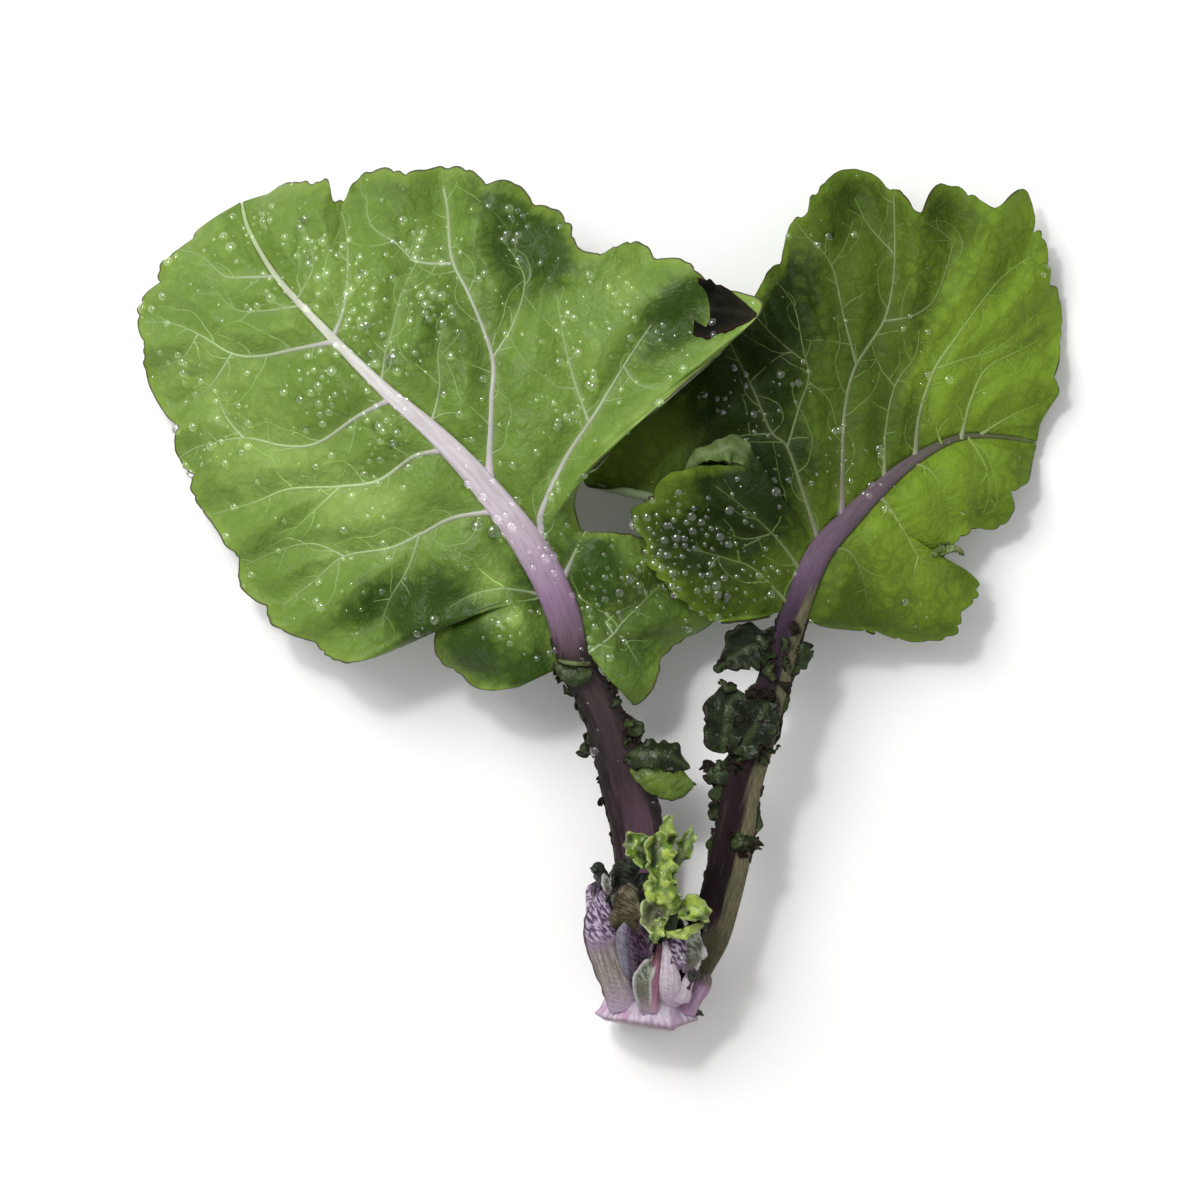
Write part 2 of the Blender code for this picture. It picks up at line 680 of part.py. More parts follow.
def main():
    """Builds the sprout's five pieces in one collection."""
    for obj in list(bpy.data.objects):
        bpy.data.objects.remove(obj)
    sprout = bpy.data.collections.new("kale sprout")
    bpy.context.scene.collection.children.link(sprout)

    leaves = []
    for leaf, leaflets in ((LEFT_LEAF, LEFT_LEAFLETS), (RIGHT_LEAF, RIGHT_LEAFLETS)):
        obj = leaf_object(leaf)
        sprout.objects.link(obj)
        small = [strip_object(f"{leaf.name} leaflet", strip) for strip in leaflets]
        leaves.append(boolean(obj, small, "UNION"))

    frill = leaf_object(FRILL_LEAF)
    sprout.objects.link(frill)

    heart = heart_core()
    sprout.objects.link(heart)
    boolean(heart, [strip_object("heart leaf", strip) for strip in HEART_LEAVES], "UNION")
    seats = [leaf_object(leaf, CLEARANCE) for leaf in (LEFT_LEAF, RIGHT_LEAF, FRILL_LEAF)]
    boolean(heart, seats, "DIFFERENCE")
    heart.name = "heart"

    base = stump()
    sprout.objects.link(base)

    for obj in sprout.objects:
        obj.data.materials.clear()
        obj.data.materials.append(material(obj.name))
        obj.data.transform(Matrix.Translation(-BOX_MIDDLE * MM))


main()
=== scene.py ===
"""The visible kale sprout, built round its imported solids.

Two broad waxy leaves with raised veins lie fanned out from a cut stump, with ruffled leaflets along their
petioles, a purple heart, one frilled leaf, and dew. The tables are in millimetres in the part's own frame,
and veins and dew are placed by points read from the picture.
"""

import logging
import math
import random
from collections.abc import Callable
from dataclasses import dataclass, field
from enum import Enum

import bpy
import numpy as np
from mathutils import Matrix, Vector, noise
from mathutils.bvhtree import BVHTree
from mathutils.kdtree import KDTree


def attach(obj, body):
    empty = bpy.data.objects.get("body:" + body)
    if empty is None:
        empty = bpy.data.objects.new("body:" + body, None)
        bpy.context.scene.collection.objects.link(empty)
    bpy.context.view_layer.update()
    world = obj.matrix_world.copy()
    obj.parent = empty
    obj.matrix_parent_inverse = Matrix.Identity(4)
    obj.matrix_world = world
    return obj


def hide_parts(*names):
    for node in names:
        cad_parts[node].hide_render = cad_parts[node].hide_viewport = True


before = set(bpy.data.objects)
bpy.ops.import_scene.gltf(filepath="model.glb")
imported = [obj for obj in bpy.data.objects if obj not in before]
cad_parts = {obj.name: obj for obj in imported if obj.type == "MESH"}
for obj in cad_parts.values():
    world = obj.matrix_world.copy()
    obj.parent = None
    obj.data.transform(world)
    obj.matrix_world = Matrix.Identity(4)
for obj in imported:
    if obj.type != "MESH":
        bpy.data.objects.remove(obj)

LOG = logging.getLogger("kale sprout")

MM = 0.001
UP = np.array((0.0, 0.0, 1.0))
# the tables' millimetres are moved by this much onto the part's origin
PLACE = np.array((0.1, -0.3, 0.0))
# a picture point's size, and the picture point that the tables count from
PICTURE_MM = 0.25
PICTURE_ORIGIN = (588.0, 750.0)

# how far either side of a place a rib's direction is read
TANGENT_STEP = 0.05
MARGIN_STEPS = 480
# how the scallops and the ruffles along a margin drift out of step, and how sharp they are
SCALLOP_DRIFT = 0.6
SCALLOP_DRIFT_RATE = 0.31
SCALLOP_ROUNDNESS = 0.7
RUFFLE_DRIFT = 0.7
RUFFLE_DRIFT_RATE = 0.17
RUFFLE_ONSET = 2.5
FULL_ARCH_SPAN = 12.0
# how much the spacing of a blade's rows follows the rib, and how its columns crowd towards the margin
RIB_SHARE = 0.3
COLUMN_CROWDING = 1.3
# how far a blade's first column lies inside its rib, as a share of the rib's width, and how deep
ROOT_SHARE = 0.4
ROOT_DEPTH = 0.15
# how far from the margin a blade's edge colour and its thinning begin
EDGE_SPAN = 3.0
# how far from a main vein, from any vein and from the rib the tissue has swollen in full
PILLOW_SPAN = 2.2
SMALL_PILLOW_SPAN = 0.8
CALM_SPAN = 2.5
# no upper face comes nearer to the surface that the sprout lies on
LOWEST_UPPER_FACE = 0.55
# nor does any point of a finished piece, in metres
LOWEST_POINT = 0.00003
# above this height the tissue swells less and less
HIGH_UPPER_FACE = 21.1
# rays go straight down from here, and a point below one that misses is sought from here
RAY_HEIGHT = 60.0
SEARCH_HEIGHT = 14.0
# how far light spreads inside the flesh, in metres
SUBSURFACE_SCALE = 0.001
# how near the midrib or a wider vein has to be for a vein to branch from it, and the midrib's start
MIDRIB_REACH = 5.0
MIDRIB_BONUS = 1.5
VEIN_REACH = 3.2
# a vein leaves this share of its distance further back, unless it begins near enough to touch
ROOT_SETBACK = 0.8
TOUCHING = 0.3
# a first point nearer than this is left out, so that the root is no kink
ROOT_NEAR = 1.2
# the angles at which twigs leave, in degrees, and how they bend and wander at each step
TWIG_ANGLES = (45.0, 68.0)
TWIG_BEND = 0.07
TWIG_WANDER = 0.34
TWIG_MEETS = 0.6
# how deep a vein's middle lies, as a share of its half width, and how far it climbs onto the rib
VEIN_SUNK = 0.62
VEIN_CLIMB = 0.22

Colour = tuple[float, float, float]
Point = tuple[float, ...]
Socket = bpy.types.NodeSocket


class Side(Enum):
    """The two halves of a blade, seen from above with the tip ahead."""

    LEFT = 1
    RIGHT = -1


class Form(Enum):
    """The ways that a small leaf ends."""

    ROUND = "round"
    OPEN = "open"


def picture_point(px: float, py: float) -> tuple[float, float]:
    """Where a point of the picture lies.

    Args:
        px: picture points from the picture's left side.
        py: picture points from its top.

    Returns:
        x and y in the part's millimetres.
    """
    x = (px - PICTURE_ORIGIN[0]) * PICTURE_MM + PLACE[0]
    y = (PICTURE_ORIGIN[1] - py) * PICTURE_MM + PLACE[1]
    return float(x), float(y)


def spline(points: list[Point], places: np.ndarray) -> np.ndarray:
    """Points on a smooth curve through the given ones.

    Args:
        points: the points that it passes through.
        places: places along it, from 0 to the last point's number.

    Returns:
        One row for each place.
    """
    knots = np.asarray(points, float)
    last = len(knots) - 1
    places = np.clip(np.asarray(places, float), 0.0, float(last))
    first = np.minimum(places.astype(int), last - 1)
    t = (places - first)[..., None]
    a, b, c, d = (knots[np.clip(first + step, 0, last)] for step in (-1, 0, 1, 2))
    cubic = (3 * b - a - 3 * c + d) * t**3
    return 0.5 * (2 * b + (c - a) * t + (2 * a - 5 * b + 4 * c - d) * t**2 + cubic)


def unit(vectors: np.ndarray) -> np.ndarray:
    """The vectors at length 1."""
    return vectors / np.maximum(np.linalg.norm(vectors, axis=-1, keepdims=True), 1e-9)


def travelled(points: np.ndarray) -> np.ndarray:
    """The distance gone at each point of a path."""
    return np.concatenate([[0.0], np.cumsum(np.linalg.norm(np.diff(points, axis=0), axis=1))])


def waver(points: np.ndarray, pitch: float, seed: float) -> np.ndarray:
    """Smooth noise from -1 to 1 at each point.

    Args:
        points: any array whose last axis is x, y, z.
        pitch: the size of its waves in millimetres.
        seed: moves it to another part of the noise.

    Returns:
        An array with the last axis gone.
    """
    flat = points.reshape(-1, 3) / pitch + seed
    values = [noise.noise(Vector(p)) for p in flat.tolist()]
    return np.array(values).reshape(points.shape[:-1])


def noise_line(gone: np.ndarray, row: float = 0.0) -> np.ndarray:
    """Points for waver along a path, on a row of their own."""
    return np.stack([gone, gone * 0.0 + row, gone * 0.0], axis=1)


def angles(sides: int) -> np.ndarray:
    """The angles of a closed ring's points."""
    return np.linspace(0.0, 2.0 * math.pi, sides, endpoint=False)


def ease(values: np.ndarray) -> np.ndarray:
    """Values held to 0..1 with a soft start and end."""
    held = np.clip(values, 0.0, 1.0)
    return held * held * (3.0 - 2.0 * held)


def ray_down(surface: BVHTree, x: float, y: float) -> Vector | None:
    """Where a ray straight down first meets a surface."""
    return surface.ray_cast(Vector((x, y, RAY_HEIGHT)), Vector((0.0, 0.0, -1.0)))[0]


def rgba(colour: object) -> object:
    """A colour with its alpha, or the socket that stands for one."""
    return (*colour, 1.0) if isinstance(colour, tuple) else colour


def feed(node: bpy.types.Node, inputs: dict) -> None:
    """Sets or joins some inputs of a node.

    Args:
        node: the node.
        inputs: what each input takes, a socket or a value, by name or number.
    """
    for key, value in inputs.items():
        if isinstance(value, Socket):
            node.id_data.links.new(value, node.inputs[key])
        else:
            node.inputs[key].default_value = value


class Wiring:
    """Adds, sets and joins the nodes of one tree."""

    def __init__(self, tree: bpy.types.NodeTree) -> None:
        """Keeps the tree."""
        self.tree = tree

    def node(self, kind: str, inputs: dict | None = None, **settings: object) -> bpy.types.Node:
        """Adds a node.

        Args:
            kind: Blender's name for the node's type.
            inputs: what its inputs take, as in feed.
            settings: the node's own settings.

        Returns:
            The node.
        """
        made = self.tree.nodes.new(kind)
        for key, value in settings.items():
            setattr(made, key, value)
        feed(made, inputs or {})
        return made

    def group(self, tree: bpy.types.NodeTree, inputs: dict) -> bpy.types.bpy_prop_collection:
        """Adds a shared shader group, and gives its outputs."""
        return self.node("ShaderNodeGroup", inputs, node_tree=tree).outputs

    def maths(self, operation: str, *values: object) -> Socket:
        """The result of one Math node."""
        return self.node("ShaderNodeMath", dict(enumerate(values)), operation=operation).outputs[0]

    def times(self, first: object, second: object) -> Socket:
        """The product of two numbers."""
        return self.maths("MULTIPLY", first, second)

    def vectors(self, operation: str, inputs: dict) -> Socket:
        """The result of one Vector Math node."""
        return self.node("ShaderNodeVectorMath", inputs, operation=operation).outputs[0]

    def level(self, value: object, low: object, high: object, to: tuple = (0.0, 1.0)) -> Socket:
        """The value eased from low..high onto another range."""
        inputs = {"Value": value, "From Min": low, "From Max": high, "To Min": to[0], "To Max": to[1]}
        return self.node("ShaderNodeMapRange", inputs, interpolation_type="SMOOTHSTEP").outputs[0]

    def mix(self, factor: object, first: object, second: object) -> Socket:
        """A colour between two colours."""
        inputs = {0: factor, 6: rgba(first), 7: rgba(second)}
        return self.node("ShaderNodeMix", inputs, data_type="RGBA").outputs[2]

    def shade(self, colour: object, value: float, saturation: float = 1.0) -> Socket:
        """The colour at another brightness and saturation."""
        inputs = {"Value": value, "Saturation": saturation, "Color": rgba(colour)}
        return self.node("ShaderNodeHueSaturation", inputs).outputs[0]

    def attribute(self, name: str) -> Socket:
        """A mark of the mesh, in a shader."""
        return self.node("ShaderNodeAttribute", attribute_name=name).outputs["Fac"]

    def mark(self, name: str) -> Socket:
        """A mark of the mesh, in Geometry Nodes."""
        return self.node("GeometryNodeInputNamedAttribute", {"Name": name}, data_type="FLOAT").outputs[0]

    def noise(self, vector: object, scale: float, detail: float = 2.0) -> Socket:
        """Noise from 0 to 1, in waves a metre."""
        inputs = {"Vector": vector, "Scale": scale, "Detail": detail}
        return self.node("ShaderNodeTexNoise", inputs).outputs["Fac"]


def node_group(kind: str, name: str, takes: dict[str, object], gives: tuple[str, ...]) -> tuple:
    """An empty node group with its sockets.

    Args:
        kind: ShaderNodeTree or GeometryNodeTree.
        name: the group's name.
        takes: each input's number, or the kind of a socket that has none.
        gives: the outputs' names; they are numbers in a shader and meshes in Geometry Nodes.

    Returns:
        The group, its wiring, the sockets that give its inputs, and its output node.
    """
    group = bpy.data.node_groups.new(name, kind)
    for label, value in takes.items():
        plain = isinstance(value, str)
        socket = value if plain else type(value).__name__.capitalize()
        made = group.interface.new_socket(name=label, in_out="INPUT", socket_type=f"NodeSocket{socket}")
        if not plain:
            made.default_value = value
    result = "Float" if kind == "ShaderNodeTree" else "Geometry"
    for label in gives:
        group.interface.new_socket(name=label, in_out="OUTPUT", socket_type=f"NodeSocket{result}")
    wiring = Wiring(group)
    return group, wiring, wiring.node("NodeGroupInput").outputs, wiring.node("NodeGroupOutput")


class Effects:
    """The shader groups that several finishes share."""

    def __init__(self) -> None:
        """Builds each group once."""
        self.net = self.vein_net()
        self.mottle = self.waxy_mottle()
        self.streaks = self.length_streaks()

    @staticmethod
    def vein_net() -> bpy.types.NodeTree:
        """The fine net of small veins, and the pillows of tissue between them.

        Returns:
            The shader group.
        """
        takes = {"Vector": "Vector", "Cells": 420.0, "Width": 0.06, "Wander": 0.0016}
        group, w, given, out = node_group("ShaderNodeTree", "fine vein net", takes, ("Net", "Pillow"))
        drift = w.node("ShaderNodeTexNoise", {"Vector": given["Vector"], "Scale": 260.0, "Detail": 3.0})
        centred = w.vectors("SUBTRACT", {0: drift.outputs["Color"], 1: (0.5, 0.5, 0.5)})
        scaled = w.vectors("SCALE", {0: centred, "Scale": given["Wander"]})
        moved = w.vectors("ADD", {0: given["Vector"], 1: scaled})
        nets = []
        pillows = []
        for share, strength in ((1.0, 1.0), (2.7, 0.5)):
            inputs = {"Vector": moved, "Scale": w.times(given["Cells"], share)}
            cells = w.node("ShaderNodeTexVoronoi", inputs, feature="DISTANCE_TO_EDGE")
            nets.append(w.level(cells.outputs["Distance"], 0.0, given["Width"], (strength, 0.0)))
            pillows.append(w.level(cells.outputs["Distance"], 0.0, 0.35, (0.0, strength)))
        feed(out, {"Net": w.maths("MAXIMUM", *nets), "Pillow": w.maths("ADD", *pillows)})
        return group

    @staticmethod
    def waxy_mottle() -> bpy.types.NodeTree:
        """Patches of deeper and paler tissue, and the grain of the wax on it.

        Returns:
            The shader group.
        """
        takes = {"Vector": "Vector", "Patches": 90.0}
        group, w, given, out = node_group("ShaderNodeTree", "waxy mottle", takes, ("Patch", "Fleck", "Grain"))
        where = given["Vector"]
        feed(out, {
            "Patch": w.level(w.noise(where, given["Patches"], 3.0), 0.36, 0.66),
            "Fleck": w.level(w.noise(where, 700.0, 3.0), 0.42, 0.7),
            "Grain": w.noise(where, 5200.0, 2.0),
        })
        return group

    @staticmethod
    def length_streaks() -> bpy.types.NodeTree:
        """Fibres that run along a petiole or a rib.

        Returns:
            The shader group.
        """
        takes = {"Across": 0.0, "Along": 0.0, "Fibres": 3.0}
        group, w, given, out = node_group("ShaderNodeTree", "length streaks", takes, ("Streak", "Fine"))
        across = w.times(given["Across"], given["Fibres"])
        where = w.node("ShaderNodeCombineXYZ", {"X": across, "Y": w.times(given["Along"], 0.22)}).outputs[0]
        feed(out, {
            "Streak": w.level(w.noise(where, 1.0, 3.0), 0.34, 0.68),
            "Fine": w.noise(where, 4.0, 2.0),
        })
        return group


class Paint(Wiring):
    """A new material's wiring, up to its Principled shader."""

    def __init__(self, name: str) -> None:
        """Starts the material.

        Args:
            name: the material's name.
        """
        self.material = bpy.data.materials.new(name)
        self.material.use_nodes = True
        super().__init__(self.material.node_tree)
        self.shader = self.tree.nodes["Principled BSDF"]

    def where(self) -> Socket:
        """The object's own coordinates."""
        return self.node("ShaderNodeTexCoord").outputs["Object"]

    def streaks(self, effects: Effects, fibres: float = 3.0) -> bpy.types.bpy_prop_collection:
        """The fibres that the marks across and gone give."""
        inputs = {"Across": self.attribute("across"), "Along": self.attribute("gone"), "Fibres": fibres}
        return self.group(effects.streaks, inputs)

    def dress(self, colour: Socket, rough: Socket, height: Socket, bump: tuple, more: dict) -> Socket:
        """Feeds the shader.

        Args:
            colour: its base colour.
            rough: its roughness.
            height: what the bump follows.
            bump: the bump's strength, and its depth in metres.
            more: the shader's other values.

        Returns:
            The bumped normal.
        """
        strength, depth = bump
        inputs = {"Strength": strength, "Distance": depth, "Height": height}
        normal = self.node("ShaderNodeBump", inputs).outputs[0]
        feed(self.shader, {"Base Color": colour, "Roughness": rough, "Normal": normal, **more})
        return normal


@dataclass(frozen=True)
class BladeFinish:
    """Leaf tissue: waxy, mottled, netted with fine veins, and a little translucent."""

    name: str
    deep: Colour
    mid: Colour
    light: Colour
    margin: Colour
    vein: Colour
    rim: Colour
    wax: Colour
    margin_share: float = 0.5
    net_share: float = 0.12
    halo_share: float = 0.3
    wax_share: float = 0.05
    glow: float = 0.2
    roughness: tuple[float, float] = (0.38, 0.58)
    cells: float = 520.0
    gloss: float = 0.22
    rim_from: tuple[float, float] = (0.9, 0.98)

    def material(self, effects: Effects) -> bpy.types.Material:
        """The finish as a material, which reads edge, vein and tone.

        Args:
            effects: the shared shader groups.

        Returns:
            The material.
        """
        w = Paint(self.name)
        where = w.where()
        net = w.group(effects.net, {"Vector": where, "Cells": self.cells})
        mottle = w.group(effects.mottle, {"Vector": where})
        fleck = mottle["Fleck"]
        edge = w.attribute("edge")
        # the tone mark is partly the tissue's own tone and partly painted shade and painted light; the fine
        # net and the wax show less where it is dark
        lively = w.level(w.attribute("tone"), -0.8, 0.1, (0.25, 1.0))
        tone = w.maths("MULTIPLY_ADD", w.attribute("tone"), 0.5, 0.28)
        tone = w.maths("MULTIPLY_ADD", mottle["Patch"], 0.26, tone)
        # the pillows of the fine net are painted lighter, a painted highlight on the swells of the tissue
        tone = w.maths("MULTIPLY_ADD", net["Pillow"], 0.12, tone)
        colour = w.mix(w.level(tone, 0.0, 0.5), self.deep, self.mid)
        colour = w.mix(w.level(tone, 0.45, 1.0), colour, self.light)
        ragged = w.maths("ADD", edge, w.times(fleck, 0.25))
        colour = w.mix(w.level(ragged, 0.35, 1.25, (0.0, self.margin_share)), colour, self.margin)
        colour = w.mix(w.times(w.times(net["Net"], lively), self.net_share), colour, self.vein)
        colour = w.mix(w.times(w.attribute("vein"), self.halo_share), colour, self.vein)
        colour = w.mix(w.times(w.times(fleck, lively), self.wax_share), colour, self.wax)
        colour = w.mix(w.level(edge, *self.rim_from, (0.0, 0.85)), colour, self.rim)
        rough = w.level(fleck, 0.0, 1.0, self.roughness)
        height = w.maths("ADD", w.times(net["Pillow"], 0.5), w.times(mottle["Grain"], 0.12))
        normal = w.dress(colour, rough, height, (0.5, 0.0003), {"Specular IOR Level": self.gloss})
        lit = w.mix(0.45, colour, self.margin)
        through = w.node("ShaderNodeBsdfTranslucent", {"Color": lit, "Normal": normal})
        inputs = {0: self.glow, 1: w.shader.outputs[0], 2: through.outputs[0]}
        both = w.node("ShaderNodeMixShader", inputs)
        feed(w.tree.nodes["Material Output"], {"Surface": both.outputs[0]})
        return w.material


@dataclass(frozen=True)
class RibFinish:
    """A petiole or a vein: fibres along it, and colours that change from its root to its tip."""

    name: str
    stops: tuple[tuple[float, Colour], ...]
    flank: Colour
    flank_share: float = 0.0
    flank_from: tuple[float, float] = (0.35, 0.85)
    # how much further the flank reaches round the root
    flank_spread: float = 0.0
    streak_share: float = 0.35
    fibres: float = 2.2
    roughness: tuple[float, float] = (0.32, 0.55)
    gloss: float = 0.3

    def material(self, effects: Effects) -> bpy.types.Material:
        """The finish as a material, which reads along, across, gone, flank and tone.

        Args:
            effects: the shared shader groups.

        Returns:
            The material.
        """
        w = Paint(self.name)
        along = w.attribute("along")
        ramp = w.node("ShaderNodeValToRGB", {"Fac": along})
        elements = ramp.color_ramp.elements
        while len(elements) < len(self.stops):
            elements.new(0.5)
        for element, (place, colour) in zip(elements, self.stops):
            element.position = place
            element.color = (*colour, 1.0)
        streaks = w.streaks(effects, self.fibres)
        mottle = w.group(effects.mottle, {"Vector": w.where()})
        colour = ramp.outputs["Color"]
        share = w.times(streaks["Streak"], self.streak_share)
        colour = w.mix(share, colour, w.shade(colour, 0.45, 1.15))
        ragged = w.maths("MULTIPLY_ADD", streaks["Streak"], 0.3, w.attribute("flank"))
        spread = w.level(along, 0.12, 0.05, (0.0, self.flank_spread))
        flank = w.level(w.maths("ADD", ragged, spread), *self.flank_from)
        flank = w.times(flank, w.level(along, 0.008, 0.035, (0.0, self.flank_share)))
        lines = w.times(w.level(streaks["Fine"], 0.35, 0.65), 0.8)
        colour = w.mix(flank, colour, w.mix(lines, self.flank, w.shade(self.flank, 0.45)))
        # the tone mark carries the blade's painted shade and painted light, and its own tone, onto the veins
        tone = w.attribute("tone")
        colour = w.mix(w.level(tone, 0.1, 1.0), colour, w.shade(colour, 1.9, 1.1))
        colour = w.mix(w.level(tone, -0.1, -1.2), colour, w.shade(colour, 0.5))
        rough = w.level(mottle["Fleck"], 0.0, 1.0, self.roughness)
        height = w.maths("ADD", streaks["Fine"], w.times(mottle["Grain"], 0.2))
        w.dress(colour, rough, height, (0.5, 0.0002), {
            "Specular IOR Level": self.gloss, "Subsurface Weight": 0.06, "Subsurface Scale": SUBSURFACE_SCALE,
        })
        return w.material


@dataclass(frozen=True)
class HeartFinish:
    """A young leaf: pale at its root, striped along its petiole, crinkled in two colours towards its top,
    with painted shade in the crevices and painted light on the crests.
    """

    name: str
    root: Colour
    petiole: Colour
    stripe: Colour
    flesh: Colour
    # the crests' colour, partly pale tissue and partly a painted highlight, and the crevices' painted shade
    crest: Colour
    crevice: Colour
    rim: Colour
    # the share of the length where the petiole gives way to the blade
    blade_from: float = 0.4
    crinkle_share: float = 0.85
    rim_share: float = 0.8
    roughness: tuple[float, float] = (0.3, 0.55)
    gloss: float = 0.35

    def material(self, effects: Effects) -> bpy.types.Material:
        """The finish as a material, which reads along, across, gone and edge.

        Args:
            effects: the shared shader groups.

        Returns:
            The material.
        """
        w = Paint(self.name)
        along = w.attribute("along")
        across = w.attribute("across")
        gone = w.attribute("gone")
        streaks = w.streaks(effects, 3.2)
        mottle = w.group(effects.mottle, {"Vector": w.where()})
        slant = w.node("ShaderNodeCombineXYZ", {
            "X": w.times(w.maths("SUBTRACT", gone, across), 2.3),
            "Y": w.times(w.maths("ADD", gone, across), 0.8),
        }).outputs[0]
        ridge = w.noise(slant, 1.0, 2.0)
        # painted shade in the crevices and painted light on the crests, on the same ridges as the bump
        crinkle = w.mix(w.level(ridge, 0.42, 0.6), self.crevice, self.crest)
        colour = w.mix(w.times(streaks["Streak"], 0.8), self.petiole, self.stripe)
        start = self.blade_from
        colour = w.mix(w.level(along, start - 0.1, start + 0.12), colour, self.flesh)
        colour = w.mix(w.level(along, start, start + 0.15, (0.0, self.crinkle_share)), colour, crinkle)
        ragged = w.maths("MULTIPLY_ADD", streaks["Streak"], 0.1, along)
        colour = w.mix(w.level(ragged, 0.04, 0.34, (0.95, 0.0)), colour, self.root)
        rim = w.times(w.level(w.attribute("edge"), 0.72, 0.95), w.level(along, 0.05, 0.2))
        colour = w.mix(w.times(rim, self.rim_share), colour, self.rim)
        rough = w.level(mottle["Fleck"], 0.0, 1.0, self.roughness)
        height = w.maths("ADD", w.times(ridge, 1.4), streaks["Fine"])
        w.dress(colour, rough, height, (0.7, 0.0003), {"Specular IOR Level": self.gloss})
        return w.material


@dataclass(frozen=True)
class CutFinish:
    """The stump: lilac skin, a browned rim, and moist pale flesh with its ring of vessels."""

    name: str
    skin: Colour
    blush: Colour
    rim: Colour
    flesh: Colour
    pith: Colour
    pale: Colour

    def material(self, effects: Effects) -> bpy.types.Material:
        """The finish as a material, which reads face, middle, lip, across and gone.

        Args:
            effects: the shared shader groups.

        Returns:
            The material.
        """
        w = Paint(self.name)
        mottle = w.group(effects.mottle, {"Vector": w.where(), "Patches": 260.0})
        streaks = w.streaks(effects)
        fleck = mottle["Fleck"]
        middle = w.attribute("middle")
        skin = w.mix(w.times(mottle["Patch"], 0.8), self.skin, self.blush)
        skin = w.mix(w.times(streaks["Streak"], 0.75), skin, self.pale)
        skin = w.mix(w.level(streaks["Fine"], 0.52, 0.72, (0.0, 0.6)), skin, self.rim)
        ring = w.times(w.level(middle, 0.2, 0.34), w.level(middle, 0.5, 0.36))
        cut = w.mix(w.level(middle, 0.3, 0.75), self.flesh, self.pith)
        cut = w.mix(w.times(ring, 0.6), cut, self.blush)
        cut = w.mix(w.level(fleck, 0.2, 1.0, (0.0, 0.35)), cut, self.rim)
        colour = w.mix(w.attribute("face"), skin, cut)
        colour = w.mix(w.times(w.attribute("lip"), 0.75), colour, self.rim)
        rough = w.level(fleck, 0.0, 1.0, (0.32, 0.55))
        height = w.maths("ADD", streaks["Fine"], w.times(fleck, 0.5))
        more = {"Subsurface Weight": 0.1, "Subsurface Scale": SUBSURFACE_SCALE}
        w.dress(colour, rough, height, (0.5, 0.0002), more)
        return w.material


def clear_water() -> bpy.types.Material:
    """Water, with a bright coat so that its glints show.

    Returns:
        The material.
    """
    water = Paint("dew")
    feed(water.shader, {
        "Base Color": rgba((1.0, 1.0, 1.0)), "Roughness": 0.0, "IOR": 1.333, "Transmission Weight": 1.0,
        "Coat Weight": 1.0, "Coat Roughness": 0.0, "Coat IOR": 1.9,
    })
    return water.material


LEFT_UPPER = BladeFinish(
    name="left leaf upper side",
    deep=(0.032, 0.07, 0.004), mid=(0.15, 0.25, 0.035), light=(0.27, 0.4, 0.085),
    margin=(0.27, 0.4, 0.05), vein=(0.3, 0.4, 0.15), rim=(0.06, 0.03, 0.04), wax=(0.36, 0.46, 0.26),
)
RIGHT_UPPER = BladeFinish(
    name="right leaf upper side",
    deep=(0.012, 0.026, 0.002), mid=(0.08, 0.132, 0.012), light=(0.22, 0.345, 0.03),
    margin=(0.22, 0.35, 0.034), vein=(0.14, 0.19, 0.06), rim=(0.03, 0.012, 0.012), wax=(0.15, 0.22, 0.1),
    margin_share=0.55, wax_share=0.0, glow=0.26, rim_from=(0.95, 1.0), roughness=(0.5, 0.7), gloss=0.12,
)
UNDERSIDE = BladeFinish(
    name="leaf underside",
    deep=(0.11, 0.16, 0.06), mid=(0.19, 0.26, 0.12), light=(0.26, 0.34, 0.17),
    margin=(0.24, 0.33, 0.11), vein=(0.36, 0.4, 0.26), rim=(0.12, 0.08, 0.08), wax=(0.36, 0.42, 0.3),
    net_share=0.4, wax_share=0.25, roughness=(0.5, 0.7),
)
DARK_LEAFLET = BladeFinish(
    name="dark leaflet",
    deep=(0.005, 0.009, 0.003), mid=(0.025, 0.042, 0.01), light=(0.12, 0.19, 0.025),
    margin=(0.035, 0.05, 0.016), vein=(0.1, 0.14, 0.05), rim=(0.012, 0.006, 0.006), wax=(0.1, 0.14, 0.08),
    margin_share=0.3, wax_share=0.02, glow=0.06, roughness=(0.28, 0.5), cells=700.0, gloss=0.2,
)
# near-black tissue: the dark underside of curled scraps and wings, and the painted shade in the hollow behind
# the left leaf's rolled lobe tip
PURPLE_FOLD_AND_SHADE = BladeFinish(
    name="folded purple tissue and shade",
    deep=(0.003, 0.003, 0.002), mid=(0.009, 0.01, 0.004), light=(0.04, 0.042, 0.012),
    margin=(0.018, 0.014, 0.008), vein=(0.03, 0.026, 0.016), rim=(0.03, 0.014, 0.014),
    wax=(0.04, 0.035, 0.03), glow=0.02, wax_share=0.0, gloss=0.05, roughness=(0.5, 0.7),
)
PALE_CURL = BladeFinish(
    name="pale curled margin",
    deep=(0.025, 0.05, 0.008), mid=(0.085, 0.14, 0.028), light=(0.2, 0.29, 0.08),
    margin=(0.15, 0.215, 0.06), vein=(0.22, 0.27, 0.12), rim=(0.08, 0.09, 0.035), wax=(0.32, 0.38, 0.26),
    wax_share=0.08, glow=0.1,
)
